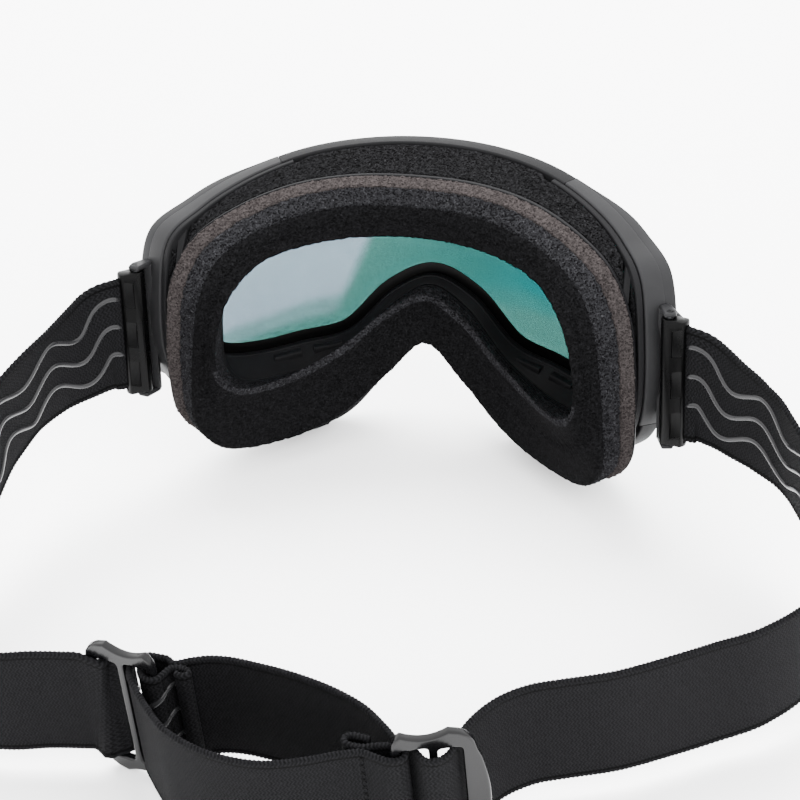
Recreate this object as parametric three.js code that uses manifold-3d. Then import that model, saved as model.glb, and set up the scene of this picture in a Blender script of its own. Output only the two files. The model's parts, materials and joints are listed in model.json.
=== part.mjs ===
// Ski goggles with a cylindrical magnetic lens, three-layer face foam, swivelling strap clips and an
// elastic strap of two halves joined by two sliding adjusters. Millimetres, +Z up, the lens faces -Y
// and +X is the wearer's left.
//
// The goggle body is drawn in its own frame, whose origin is midway between the two strap clips, and
// is then tipped forward onto the lens's lower edge. Outlines on the curved front are drawn flat, as
// (arc length, height), and wrapped round one vertical cylinder.

import * as THREE from 'three';
import { mergeVertices } from 'three/addons/utils/BufferGeometryUtils.js';
import Module from 'manifold-3d';

const wasm = await Module();
wasm.setup();

// ---- driving dimensions ----
const GAP = 0.3; // clearance between touching pieces
const TIP = THREE.MathUtils.degToRad(12.5); // forward tip of the goggle body
const BODY_HEIGHT = 55.5; // height of the clip centres over the table

const BOW_RADIUS = 98; // plan radius of the frame's front
const BOW_CENTRE = 46.6; // y of that circle's centre
const RIM_REAR = 92.1; // radius of the rim's rear edge
const FLANGE = [91.6, 94.2]; // radii of the front flange
const FRAME_MAGNET = [94.5, 96.2];
const LENS_MAGNET = [96.5, 98.1];
const INNER_LENS = [94.6, 95.8];
const GASKET = [96.1, 98.1];
const OUTER_LENS = [98.4, 100.6];

const OUTRIGGER = {
  from: 2.42, to: 7.55, inner: 92.4, side: 91, band: 3.8, sideBand: 5.4, lip: 1.7, front: 101.2,
};
const HINGE = { x: 84.2, y: -1.5, bar: 1.5, bore: 1.9, eye: 2.7, lug: 1.6 };
const CLIP = { height: 41.4, reach: 5.6, thick: 4.6, slot: 2.2, slotDepth: 3.4 };
const CLIP_ANGLE = { left: 41, right: 17.5 }; // strap direction at each clip, from straight sideways

const STRAP = { width: 38, thick: 1.4 };
const SLIDER = { height: 50, half: 11.2, thick: 2.2, leg: 3.5, bar: 2.4, rail: 5.2, waist: 2.2 };
const SILICONE = {
  wide: 1.8, thick: 0.5, lift: 0.48, wave: 24, swing: 3.4, rows: [9.5, 0, -9.5],
  start: 3.4, length: 120,
};

const HALF_POINTS = 14; // outline points from top centre to bottom centre
const LOOP_POINTS = 2 * (HALF_POINTS - 1);
const RING_STEPS = 3; // stations between two outline points

// ---- outlines: half lists from top centre, down the wearer's left side, to the nose ----
const RIM_OUTLINE = [
  [0, 53], [21, 52.2], [42, 49.5], [62, 44.2], [80, 37.4], [94, 30.6], [98.8, 12],
  [97.9, -10], [90, -24.5], [76, -35.5], [56, -47.5], [33, -43.5], [15, -25], [0, -8],
];
const APERTURE = [
  [0, 38], [20, 37.5], [40, 35.5], [57, 31.5], [72, 24.5], [81, 15], [84.5, 3],
  [82, -8], [74, -15], [61, -17], [46, -15.5], [30, -12.5], [14, 2], [0, 8],
];
const BASE_OUTER = [
  [0, 48], [20, 47.6], [38, 45.2], [54, 39.6], [66, 31.6], [72.5, 19], [74.5, 3],
  [74.8, -13], [73, -29], [64, -40.5], [45, -43.5], [27.5, -38.5], [13, -24], [0, -12],
];
const BASE_REAR_OUTER = [
  [0, 46.5], [20, 46], [37, 43], [51, 37.2], [62, 29.2], [68, 17], [69.8, 3], [70.3, -13],
  [69.5, -28.5], [62, -40], [44, -43], [27.5, -37.5], [13, -23], [0, -11.5],
];
const FACE_OUTER = [
  [0, 39.2], [19, 39], [34, 36.4], [46, 32.4], [55.5, 25], [60.5, 13], [62.4, 1],
  [63.8, -13], [64, -28.5], [58.5, -39.5], [42.5, -41.5], [27.5, -35.5], [13, -22.5],
  [0, -10.5],
];
const BASE_INNER = [
  [0, 33], [19, 32.5], [34, 30.5], [46, 27], [55, 19], [59, 8], [60, -3],
  [59.5, -13], [56, -20.5], [46, -22], [36, -20.5], [25, -14], [12, -0.5], [0, 6],
];
const FACE_INNER = [
  [0, 30], [18, 29.6], [32, 28.4], [43, 25.5], [51, 17.5], [55, 7], [56.5, -3],
  [55.5, -10], [50.5, -16], [42, -17], [33, -14.5], [23.5, -9], [12, 0], [0, 5.5],
];
// how far the foam stands further forward towards the cheeks and nose, at each outline point
const CHEEK = [0, 0, 0, 0, 0, 0, 0, 0, -1.5, -4.5, -8, -10, -12, -12.5];

// ---- materials ----
const plastic = (color, roughness) =>
  new THREE.MeshStandardMaterial({ color, roughness, metalness: 0 });
const FRAME_GREY = plastic(0x3a3a3c, 0.62);
const CLIP_BLACK = plastic(0x151516, 0.4);
const SLIDER_GREY = plastic(0x2b2b2d, 0.35);
const FOAM_BLACK = plastic(0x161617, 0.95);
const FOAM_TAUPE = plastic(0x968a87, 0.95);
const FLEECE_BLACK = plastic(0x111112, 1);
const GASKET_BLACK = plastic(0x0b0b0c, 0.9);
const LENS_TEAL = new THREE.MeshStandardMaterial({
  color: 0x3f9c9c, roughness: 0.06, metalness: 0.3, transparent: true, opacity: 0.55,
});
const LENS_CLEAR = new THREE.MeshStandardMaterial({
  color: 0x9fb4b8, roughness: 0.05, metalness: 0, transparent: true, opacity: 0.3,
});
const MAGNET_STEEL = new THREE.MeshStandardMaterial({ color: 0x8c8d90, roughness: 0.3, metalness: 1 });
const STRAP_BLACK = plastic(0x121213, 0.9);
const SILICONE_GREY = plastic(0x4a4a4c, 0.3);

// ---- groups ----
const group = new THREE.Group();
const body = new THREE.Group();
body.rotation.x = TIP;
body.position.z = BODY_HEIGHT;
group.add(body);

function addPart(parent, name, geometry, material) {
  const mesh = new THREE.Mesh(geometry, material);
  mesh.name = name;
  parent.add(mesh);
  return mesh;
}

// ---- solids ----
function toSolid(geometry) {
  const plain = geometry.clone();
  plain.deleteAttribute('normal');
  plain.deleteAttribute('uv');
  const merged = mergeVertices(plain, 1e-4);
  return new wasm.Manifold(new wasm.Mesh({
    numProp: 3,
    vertProperties: merged.attributes.position.array,
    triVerts: Uint32Array.from(merged.index.array),
  }));
}

const FINEST = 0.01; // shorter edges, which joins and cuts leave, are merged away

function toGeometry(solid) {
  const mesh = solid.simplify(FINEST).getMesh();
  const geometry = new THREE.BufferGeometry();
  geometry.setAttribute('position', new THREE.BufferAttribute(mesh.vertProperties, 3));
  geometry.setIndex(new THREE.BufferAttribute(mesh.triVerts, 1));
  return geometry;
}

// Joins overlapping pieces into one solid, without the specks that a join can leave.
function joined(geometries) {
  const solid = geometries.map(toSolid).reduce((a, b) => a.add(b));
  return toGeometry(solid.decompose().reduce((a, b) => (a.volume() > b.volume() ? a : b)));
}
const cut = (geometry, tools) =>
  toGeometry(tools.map(toSolid).reduce((a, b) => a.subtract(b), toSolid(geometry)));

// A closed skin through a row of sections, each the same number of points; an open row gets end caps.
function loft(sections, closed) {
  const side = sections[0].length;
  const points = sections.flat();
  const index = [];
  const spans = closed ? sections.length : sections.length - 1;
  for (let i = 0; i < spans; i++) {
    const a = i * side;
    const b = ((i + 1) % sections.length) * side;
    for (let j = 0; j < side; j++) {
      const k = (j + 1) % side;
      index.push(a + j, a + k, b + k, a + j, b + k, b + j);
    }
  }
  if (!closed) {
    const last = (sections.length - 1) * side;
    for (let j = 1; j < side - 1; j++) {
      index.push(0, j + 1, j, last, last + j, last + j + 1);
    }
  }
  let volume = 0;
  for (let i = 0; i < index.length; i += 3) {
    const [a, b, c] = [points[index[i]], points[index[i + 1]], points[index[i + 2]]];
    volume += a.dot(b.clone().cross(c));
  }
  if (volume < 0) index.reverse();
  const geometry = new THREE.BufferGeometry().setFromPoints(points);
  geometry.setIndex(index);
  return geometry;
}

// ---- outlines as closed curves; a place on one is an outline index, 0 at top centre ----
function closedCurve(half, depth = () => 0) {
  const left = half.map(([x, z], i) => new THREE.Vector3(x, depth(x, i), z));
  const right = left.slice(1, -1).reverse().map((p) => new THREE.Vector3(-p.x, p.y, p.z));
  return new THREE.CatmullRomCurve3([...left, ...right], true, 'centripetal');
}

const wrapIndex = (index) => ((index % LOOP_POINTS) + LOOP_POINTS) % LOOP_POINTS;
const at = (curve, index) => curve.getPoint(wrapIndex(index) / LOOP_POINTS);

// A point of a flat outline moved inwards by some distance.
function inset(curve, index, distance) {
  const tangent = curve.getTangent(wrapIndex(index) / LOOP_POINTS);
  return at(curve, index).add(new THREE.Vector3(-tangent.z, 0, tangent.x).multiplyScalar(-distance));
}

// Wraps a flat (arc length, height) point round the bow cylinder at a radius.
function bow(point, radius) {
  const angle = point.x / BOW_RADIUS;
  return new THREE.Vector3(
    radius * Math.sin(angle),
    BOW_CENTRE - radius * Math.cos(angle),
    point.z,
  );
}

const cheek = (i) => CHEEK[i] ?? 0;
const rim = closedCurve(RIM_OUTLINE);
const aperture = closedCurve(APERTURE);
const baseDepth = (x, i) => -28.7 + 0.00538 * x * x + cheek(i);
const baseOuter = closedCurve(BASE_OUTER, baseDepth);
const baseInner = closedCurve(BASE_INNER, baseDepth);
const baseRearOuter = closedCurve(BASE_REAR_OUTER, (x, i) => -23.1 + 0.005 * x * x + cheek(i));
const faceOuter = closedCurve(FACE_OUTER, (x, i) => -20 + 0.0066 * x * x + cheek(i));
const faceInner = closedCurve(FACE_INNER, (x, i) => -22 + 0.0095 * x * x + cheek(i));

// Outline indices from one place to another, or all the way round.
function places(from = 0, to = LOOP_POINTS, steps = RING_STEPS) {
  const count = Math.max(1, Math.round((to - from) * steps));
  const closed = to - from === LOOP_POINTS;
  return Array.from({ length: closed ? count : count + 1 }, (_, k) => from + ((to - from) * k) / count);
}

// A ring, or part of one, whose section at each place is given by a function.
function ring(section, from, to, steps) {
  const stations = places(from, to, steps);
  return loft(stations.map(section), from === undefined);
}

// A band on the bow between two insets of an outline and two radii.
const bowBand = (curve, [insetA, insetB], [rA, rB], from, to, steps) => ring((i) => [
  bow(inset(curve, i, insetA), rA), bow(inset(curve, i, insetA), rB),
  bow(inset(curve, i, insetB), rB), bow(inset(curve, i, insetB), rA),
], from, to, steps);

const mirror = (index) => LOOP_POINTS - index;
const shifted = (point, y) => point.clone().setY(point.y + y);

// ---- frame ----
const REAR_PLATE = 1.8; // thickness of the plate that carries the foam
const SHOULDER = 2; // radial width of the shoulder behind an outrigger
const plateFront = -(GAP + REAR_PLATE);

const fromTop = (index) => Math.min(wrapIndex(index), LOOP_POINTS - wrapIndex(index));
const between = (index, low, high, a, b) =>
  THREE.MathUtils.lerp(a, b, THREE.MathUtils.smoothstep(fromTop(index), low, high));
const outriggerInner = (i) => between(i, 3.5, 5, OUTRIGGER.inner, OUTRIGGER.side);
const outriggerBand = (i) => between(i, 3.5, 5, OUTRIGGER.band, OUTRIGGER.sideBand);
const flangeOuter = (i) => outriggerBand(i) + 0.4;
const windowInset = (i) => between(i, 3, 4.6, 0.7, 3.6);
const windowRadius = (i) =>
  between(i, 1.95, 2.15, RIM_REAR, outriggerInner(i) - GAP - SHOULDER);
const WALL = 3; // thickness of the shell's skin and of the foam in its windows

// The skin between the rim and the foam plate; lap is how far it reaches into both.
const skinSection = (lap) => (i) => {
  const outside = bow(inset(rim, i, windowInset(i)), windowRadius(i) + lap);
  const inside = bow(inset(rim, i, windowInset(i) + WALL), windowRadius(i) + lap);
  const rear = shifted(at(baseOuter, i), plateFront + lap);
  const toCentre = shifted(at(baseInner, i), plateFront + lap).sub(rear).setLength(WALL);
  return [outside, rear, rear.clone().add(toCentre), inside];
};

function rimRing(from, to) {
  return ring((i) => {
    const band = flangeOuter(i) + 0.3;
    return [
      bow(at(rim, i), RIM_REAR), bow(at(rim, i), BOW_RADIUS),
      bow(inset(rim, i, band), BOW_RADIUS), bow(inset(rim, i, band), RIM_REAR),
    ];
  }, from, to);
}

function shoulder(from, to) {
  return ring((i) => {
    const rear = outriggerInner(i) - GAP - SHOULDER;
    const front = outriggerInner(i) - GAP;
    const far = flangeOuter(i) + 0.4;
    return [
      bow(inset(rim, i, 0.4), rear), bow(inset(rim, i, 0.4), front),
      bow(inset(rim, i, far), front), bow(inset(rim, i, far), rear),
    ];
  }, from, to);
}

const frontFlange = ring((i) => [
  bow(inset(rim, i, flangeOuter(i)), FLANGE[0]), bow(inset(rim, i, flangeOuter(i)), FLANGE[1]),
  bow(at(aperture, i), FLANGE[1]), bow(at(aperture, i), FLANGE[0]),
]);

const rearPlate = ring((i) => [
  shifted(at(baseOuter, i), plateFront), shifted(at(baseOuter, i), -GAP),
  shifted(at(baseInner, i), -GAP), shifted(at(baseInner, i), plateFront),
]);

// The sill below the eyes, from the lens opening back to the foam.
const sill = ring((i) => {
  const lap = 0.5;
  return [
    bow(at(aperture, i), FLANGE[0] + lap), shifted(at(baseInner, i), plateFront + lap),
    shifted(inset(baseInner, i, -SHOULDER), plateFront + lap),
    bow(inset(aperture, i, -SHOULDER), FLANGE[0] + lap),
  ];
}, 7.4, mirror(7.4));

// Low housings on the sill that hold the lower magnets.
const housings = [[9.25, 9.9], [10.2, 10.8]].flatMap(([a, b]) => [[a, b], [mirror(b), mirror(a)]])
  .map(([a, b]) => bowBand(aperture, [-6, -1], [88.4, FLANGE[0] + 0.5], a, b));

const RIBS = [[4.45, 4.75], [7.9, 8.6], [10.9, mirror(10.9)], [mirror(8.6), mirror(7.9)],
  [mirror(4.75), mirror(4.45)]];
const ribs = RIBS.map(([a, b]) => ring(skinSection(0.5), a, b));

const seam = OUTRIGGER.from - 0.06;
const heel = OUTRIGGER.to + 0.06;
const shoulders = [[seam - 0.18, heel + 0.4], [mirror(heel + 0.4), mirror(seam - 0.18)]];
addPart(body, 'face_frame', joined([
  rimRing(mirror(seam) - LOOP_POINTS, seam), rimRing(heel, mirror(heel)),
  ...shoulders.map(([a, b]) => shoulder(a, b)), frontFlange, rearPlate, sill, ...housings, ...ribs,
]), FRAME_GREY);

// ---- vent foams, one in each window of the shell ----
const WINDOWS = {
  vent_foam_top: [mirror(4.38) - LOOP_POINTS, 4.38],
  vent_foam_left: [5.15, 7.8],
  vent_foam_right: [mirror(7.8), mirror(5.15)],
  vent_foam_bottom_left: [8.75, 10.75],
  vent_foam_bottom_right: [mirror(10.75), mirror(8.75)],
};
for (const [name, [from, to]] of Object.entries(WINDOWS)) {
  addPart(body, name, ring(skinSection(-GAP), from, to, 6), FOAM_BLACK);
}

// ---- face foam ----
const FLEECE = 0.72; // where the fleece starts, from the base foam's rear to the face
const blend = (a, b, t) => (i) => at(a, i).lerp(at(b, i), t);
const layers = {
  foam_base: [blend(baseOuter, baseRearOuter, 0), blend(baseOuter, baseRearOuter, 1),
    blend(baseInner, faceInner, 0.3), blend(baseInner, faceInner, 0)],
  foam_middle: [blend(baseRearOuter, faceOuter, 0), blend(baseRearOuter, faceOuter, FLEECE),
    blend(baseInner, faceInner, 0.8), blend(baseInner, faceInner, 0.3)],
  foam_face: [blend(baseRearOuter, faceOuter, FLEECE), blend(baseRearOuter, faceOuter, 1),
    blend(baseInner, faceInner, 1), blend(baseInner, faceInner, 0.8)],
};
const FOAM_LOOKS = { foam_base: FOAM_TAUPE, foam_middle: FOAM_BLACK, foam_face: FLEECE_BLACK };
for (const [name, [frontOuter, rearOuter, rearInner, frontInner]] of Object.entries(layers)) {
  const half = name === 'foam_base' ? 0 : GAP / 2;
  const section = (i) => {
    const corners = [
      shifted(frontOuter(i), half), shifted(rearOuter(i), -GAP / 2),
      shifted(rearInner(i), -GAP / 2), shifted(frontInner(i), half),
    ];
    // neighbouring layers split their twisted faces along the same diagonals
    return name === 'foam_middle' ? corners.reverse() : corners;
  };
  addPart(body, name, ring(section, undefined, undefined, 2), FOAM_LOOKS[name]);
}

// ---- outriggers, with the bar that each strap clip turns on ----
const BAR_LENGTH = CLIP.height + 2 * (HINGE.lug + GAP);

function upright(outline, height) {
  const shape = new THREE.Shape(outline.map(([x, y]) => new THREE.Vector2(x, y)));
  const geometry = new THREE.ExtrudeGeometry(shape, { depth: height, bevelEnabled: false });
  return geometry.translate(0, 0, -height / 2);
}

function outrigger(side) {
  const place = (i) => (side > 0 ? i : mirror(i));
  const range = side > 0 ? [OUTRIGGER.from, OUTRIGGER.to] : [mirror(OUTRIGGER.to), mirror(OUTRIGGER.from)];
  const arm = ring((i) => [
    bow(at(rim, i), outriggerInner(i)), bow(at(rim, i), BOW_RADIUS),
    bow(inset(rim, i, outriggerBand(i)), BOW_RADIUS),
    bow(inset(rim, i, outriggerBand(i)), outriggerInner(i)),
  ], ...range);
  // the lip stands round the lens's edge
  const lip = bowBand(rim, [0, OUTRIGGER.lip], [BOW_RADIUS - 1, OUTRIGGER.front], ...range);
  const heelPoint = bow(at(rim, place(6.4)), BOW_RADIUS);
  const x = Math.abs(heelPoint.x);
  const cheekPlate = upright([
    [side * (x - 3), heelPoint.y + 1], [side * (x - 0.8), heelPoint.y - 0.9],
    [side * (x + 7.6), heelPoint.y - 0.9], [side * (x + 8.4), heelPoint.y + 0.5],
  ], BAR_LENGTH);
  const lugs = [1, -1].map((end) => upright([
    [side * (x - 4.5), heelPoint.y - 1], [side * (x - 1), heelPoint.y - 3],
    [side * (HINGE.x + 2.4), HINGE.y - 1.6], [side * (HINGE.x + 2.4), HINGE.y + 1.4],
    [side * (HINGE.x - 1.2), HINGE.y + 2.6],
  ], HINGE.lug).translate(0, 0, end * (CLIP.height / 2 + GAP + HINGE.lug / 2)));
  const bore = new THREE.CylinderGeometry(HINGE.bore, HINGE.bore, 2 * BAR_LENGTH, 20)
    .rotateX(Math.PI / 2).translate(side * HINGE.x, HINGE.y, 0);
  return cut(joined([arm, lip, cheekPlate, ...lugs]), [bore]);
}

// ---- strap clips: an eye round the bar and a channel that holds the strap's end ----
function clip(side, angle) {
  const reach = CLIP.reach;
  const eye = new THREE.CylinderGeometry(HINGE.eye, HINGE.eye, CLIP.height, 24).rotateX(Math.PI / 2);
  const channel = new THREE.BoxGeometry(reach, CLIP.thick, CLIP.height).translate(reach / 2 + 0.4, 0, 0);
  const bore = new THREE.CylinderGeometry(HINGE.bore, HINGE.bore, 2 * CLIP.height, 20).rotateX(Math.PI / 2);
  const slot = new THREE.BoxGeometry(2 * CLIP.slotDepth, CLIP.slot, CLIP.height - 2.4)
    .translate(reach + 0.4, 0, 0);
  const recesses = [13, 0, -13].map((z) =>
    new THREE.BoxGeometry(1.6, 0.8, 7.5).translate(reach - 1.9, CLIP.thick / 2, z));
  const geometry = cut(joined([eye, channel]), [bore, slot, ...recesses]);
  if (side < 0) {
    geometry.rotateZ(Math.PI - THREE.MathUtils.degToRad(angle));
  } else {
    geometry.rotateZ(THREE.MathUtils.degToRad(angle));
  }
  return geometry;
}

for (const [name, side] of [['left', 1], ['right', -1]]) {
  addPart(body, `outrigger_${name}`, outrigger(side), FRAME_GREY);
  const bar = new THREE.CylinderGeometry(HINGE.bar, HINGE.bar, BAR_LENGTH, 16).rotateX(Math.PI / 2);
  addPart(body, `strap_bar_${name}`, bar, MAGNET_STEEL).position.set(side * HINGE.x, HINGE.y, 0);
  addPart(body, `strap_clip_${name}`, clip(side, CLIP_ANGLE[name]), CLIP_BLACK)
    .position.set(side * HINGE.x, HINGE.y, 0);
}

// ---- lens ----
// A sheet on the bow that fills an outline, as strips between its upper and lower edges.
function sheet(curve, margin, [inner, outer], strips = 44) {
  const edge = places(0, LOOP_POINTS, 8).map((i) => inset(curve, i, margin(i)));
  const reach = Math.max(...edge.map((p) => p.x)) - 0.05;
  const span = (s) => {
    const crossings = [];
    edge.forEach((p, k) => {
      const q = edge[(k + 1) % edge.length];
      if ((p.x - s) * (q.x - s) <= 0 && p.x !== q.x) {
        crossings.push(p.z + ((q.z - p.z) * (s - p.x)) / (q.x - p.x));
      }
    });
    return [Math.min(...crossings), Math.max(...crossings)];
  };
  return loft(Array.from({ length: strips + 1 }, (_, k) => {
    const s = reach * Math.sin(Math.PI * (k / strips - 0.5));
    const [low, high] = span(s);
    const corner = (z, r) => bow(new THREE.Vector3(s, 0, z), r);
    return [corner(low, inner), corner(low, outer), corner(high, outer), corner(high, inner)];
  }), false);
}

const lensMargin = (i) => between(i, 4, 5.2, 2.5, 3.2);
addPart(body, 'outer_lens', sheet(rim, lensMargin, OUTER_LENS, 56), LENS_TEAL);
addPart(body, 'inner_lens', sheet(aperture, () => -3, INNER_LENS), LENS_CLEAR);
addPart(body, 'lens_gasket', bowBand(aperture, [-3.4, -0.6], GASKET, undefined, undefined, 2), GASKET_BLACK);

// ---- magnets, in pairs between the frame's flange and the lens ----
const MAGNETS = { top: 1.35, side: 5.9, bottom: 9.3 };
const MAGNET_SPAN = 0.28; // half length, in outline points
const MAGNET_INSET = [6.8, 9.6];
for (const [spot, index] of Object.entries(MAGNETS)) {
  for (const [hand, place] of [['left', index], ['right', mirror(index)]]) {
    const [from, to] = [place - MAGNET_SPAN, place + MAGNET_SPAN];
    addPart(body, `frame_magnet_${spot}_${hand}`,
      bowBand(rim, MAGNET_INSET, FRAME_MAGNET, from, to, 4), MAGNET_STEEL);
    addPart(body, `lens_magnet_${spot}_${hand}`,
      bowBand(rim, MAGNET_INSET, LENS_MAGNET, from, to, 4), MAGNET_STEEL);
  }
}

// ---- adjusters: three-bar sliders, each given by its centre and its outward direction in plan ----
function slider({ centre, out }) {
  const { height, half, thick, leg, bar, rail, waist } = SLIDER;
  const shape = new THREE.Shape();
  const top = height / 2;
  shape.moveTo(-half, -top + 3);
  shape.quadraticCurveTo(-half, -top, -half + 3, -top);
  shape.lineTo(-5, -top);
  shape.quadraticCurveTo(0, -top + 2 * waist, 5, -top);
  shape.lineTo(half - 3, -top);
  shape.quadraticCurveTo(half, -top, half, -top + 3);
  shape.quadraticCurveTo(half + 1.6, 0, half, top - 3);
  shape.quadraticCurveTo(half, top, half - 3, top);
  shape.lineTo(5, top);
  shape.quadraticCurveTo(0, top - 2 * waist, -5, top);
  shape.lineTo(-half + 3, top);
  shape.quadraticCurveTo(-half, top, -half, top - 3);
  const plate = new THREE.ExtrudeGeometry(shape, { depth: thick, bevelEnabled: false, curveSegments: 6 });
  const slots = [[-half + bar, -bar / 2], [bar / 2, half - leg]].map(([a, b]) =>
    new THREE.BoxGeometry(b - a, height - 2 * rail, 4 * thick).translate((a + b) / 2, 0, 0));
  const along = new THREE.Vector3(out[0], out[1], 0).normalize();
  const up = new THREE.Vector3(0, 0, 1);
  const face = new THREE.Vector3().crossVectors(along, up);
  return cut(plate.translate(0, 0, -thick / 2), slots)
    .applyMatrix4(new THREE.Matrix4().makeBasis(along, up, face))
    .translate(centre[0], centre[1], top);
}

const SLIDERS = {
  left: { centre: [45, 130.6], out: [0.98, -0.2] },
  right: { centre: [-47.6, 146.4], out: [-0.94, -0.34] },
};
for (const [name, place] of Object.entries(SLIDERS)) {
  addPart(group, `slider_${name}`, slider(place), SLIDER_GREY);
}

// ---- strap: webbing on edge along a route seen from above, each point [x, y, height, roll] ----
// Each half runs from its clip, through one slider's outer slot, and is sewn round the inner bar of
// the other slider.
const BACK = 25; // height of the webbing's middle where it passes the sliders
// A point of the webbing inside a clip, some way out from the clip's bar.
function fromBar(side, angle, distance) {
  const turn = THREE.MathUtils.degToRad(angle);
  const x = side * (HINGE.x + distance * Math.cos(turn));
  const y = HINGE.y + distance * Math.sin(turn);
  const roll = side * Math.atan(Math.tan(TIP) * Math.cos(turn));
  return [x, y * Math.cos(TIP), BODY_HEIGHT + y * Math.sin(TIP), THREE.MathUtils.radToDeg(roll)];
}
const ROUTES = {
  left_side: [
    fromBar(1, CLIP_ANGLE.left, 3.2), fromBar(1, CLIP_ANGLE.left, 6.4), [92.9, 6, 56.6, 6.5],
    [97.8, 12.2, 55.9, -1], [103.4, 21.4, 55, -9], [108.9, 34.1, 53.6, -11],
    [113, 45.4, 49.9, -8.8], [116, 61.1, 43.4, -6.5], [119.2, 79, 36.9, -3.9],
    [119.8, 97.3, 31.4, -2], [117.6, 114.4, 27.3, -1], [110.6, 127.4, BACK], [98.2, 134, BACK],
    [84.5, 134.6, 25.3], [71.5, 132.3, 26], [62.6, 130.9, 26],
  ],
  left_tail: [
    [61.9, 130.8, 26], [58.5, 130.4, 26], [55.3, 131, 25.7], [52.6, 131.3, 25.3],
    [50.7, 130, 25.1], [49.1, 128.8, BACK], [47.1, 127.9, BACK], [44.7, 128.1, BACK],
    [42.6, 129.2, BACK], [42.3, 131.3, BACK], [41.9, 133.4, BACK], [40.4, 136, BACK],
    [38.4, 138.5, BACK], [36.3, 141.1, BACK], [30.8, 147.2, BACK], [25, 152.4, BACK],
    [14, 157.6, BACK], [4, 159.6, BACK], [-5, 159.4, BACK], [-15, 156.4, BACK],
    [-21.6, 153.4, BACK], [-26, 151.7, BACK], [-29.5, 150.8, BACK], [-33.5, 151.9, BACK],
    [-37.2, 152.6, BACK], [-39.9, 151.9, BACK], [-41, 149.9, BACK], [-39.9, 147.9, BACK],
    [-37.2, 147.2, BACK], [-33, 147.8, BACK], [-29.3, 149, BACK], [-26.4, 149, BACK],
    [-24.2, 148.3, BACK], [-23.5, 146.8, BACK], [-24.7, 145.4, BACK], [-27.5, 145.5, BACK],
    [-30.2, 145.9, BACK],
  ],
  right_side: [
    fromBar(-1, CLIP_ANGLE.right, 3.2), fromBar(-1, CLIP_ANGLE.right, 6.4),
    [-94.5, 1.9, 55.9, -9], [-99.3, 4.4, 55.2, -5], [-106, 8.4, 53.6, 0],
    [-113.1, 12.4, 51.6, 3.6], [-120, 17.4, 49.6, 5.2], [-126.6, 25.4, 47.1, 5.1],
    [-133.8, 36.9, 42.6, 3.5], [-138.5, 50.8, 37.3, 1.3], [-139.3, 64.5, 32.6, -0.9],
    [-136.4, 77.2, 28.8, -2.1], [-126.1, 88.4, 26.5, -1.3], [-113.2, 96, BACK],
    [-101.5, 103.7, BACK], [-88.9, 111.2, BACK], [-75.5, 116.6, BACK], [-67.5, 120.1, BACK],
    [-61.2, 125.1, BACK],
  ],
  right_tail: [
    [-60.9, 125.4, BACK], [-57.5, 130, BACK], [-54.8, 135.5, BACK], [-53.4, 140.5, BACK],
    [-52.9, 144.5, BACK], [-51.8, 148.1, BACK], [-49.4, 150.5, BACK], [-46.6, 150.7, BACK],
    [-44.2, 148.9, BACK], [-41.8, 146.7, BACK], [-37.6, 145.1, BACK], [-33, 140.9, BACK],
    [-26, 135.1, BACK], [-18, 131, BACK], [-9, 127.9, BACK], [0, 125.8, BACK], [8, 124.6, BACK],
    [16, 123.8, BACK], [22, 124.4, BACK], [26.5, 126, BACK], [30.7, 127.8, BACK],
    [33.1, 126.4, BACK], [35.6, 126.1, BACK], [37.5, 127.3, BACK], [37.9, 129.8, BACK],
    [37.6, 132.1, BACK], [37.1, 134.1, BACK], [35.5, 135.2, BACK], [33.6, 134.7, BACK],
    [32.5, 132.8, BACK], [31.7, 131.1, BACK], [30.8, 129.7, BACK], [28.8, 129.3, BACK],
    [26.6, 129.6, BACK], [25.4, 130.9, BACK], [26.7, 132, BACK], [29, 131.6, BACK],
  ],
};

// A strip that follows a route, from one distance along it to another.
function strip(points, { width, thick, step, from = 0, to = Infinity, offset = 0, rise = () => 0 }) {
  const route = new THREE.CatmullRomCurve3(
    points.map(([x, y, z]) => new THREE.Vector3(x, y, z)), false, 'centripetal');
  route.arcLengthDivisions = 20 * points.length;
  const rolls = points.map((point) => THREE.MathUtils.degToRad(point[3] ?? 0));
  const length = route.getLength();
  const end = Math.min(to, length);
  const count = Math.round((end - from) / step);
  return loft(Array.from({ length: count + 1 }, (_, k) => {
    const distance = from + ((end - from) * k) / count;
    const t = route.getUtoTmapping(distance / length);
    const place = t * (points.length - 1);
    const low = Math.min(Math.floor(place), points.length - 2);
    const tangent = route.getTangent(t);
    const level = new THREE.Vector3().crossVectors(tangent, new THREE.Vector3(0, 0, 1)).normalize();
    const roll = THREE.MathUtils.lerp(rolls[low], rolls[low + 1], place - low);
    const across = level.applyAxisAngle(tangent, roll);
    const up = new THREE.Vector3().crossVectors(across, tangent);
    const middle = route.getPoint(t).addScaledVector(across, offset)
      .addScaledVector(up, rise(distance - from));
    const corner = (a, b) => middle.clone().addScaledVector(across, (a * thick) / 2)
      .addScaledVector(up, (b * width) / 2);
    return [corner(-1, -1), corner(1, -1), corner(1, 1), corner(-1, 1)];
  }), false);
}

for (const [name, points] of Object.entries(ROUTES)) {
  const step = name.endsWith('side') ? 3 : 0.9;
  addPart(group, `strap_${name}`,
    strip(points, { width: STRAP.width, thick: STRAP.thick, step }), STRAP_BLACK);
}

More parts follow.
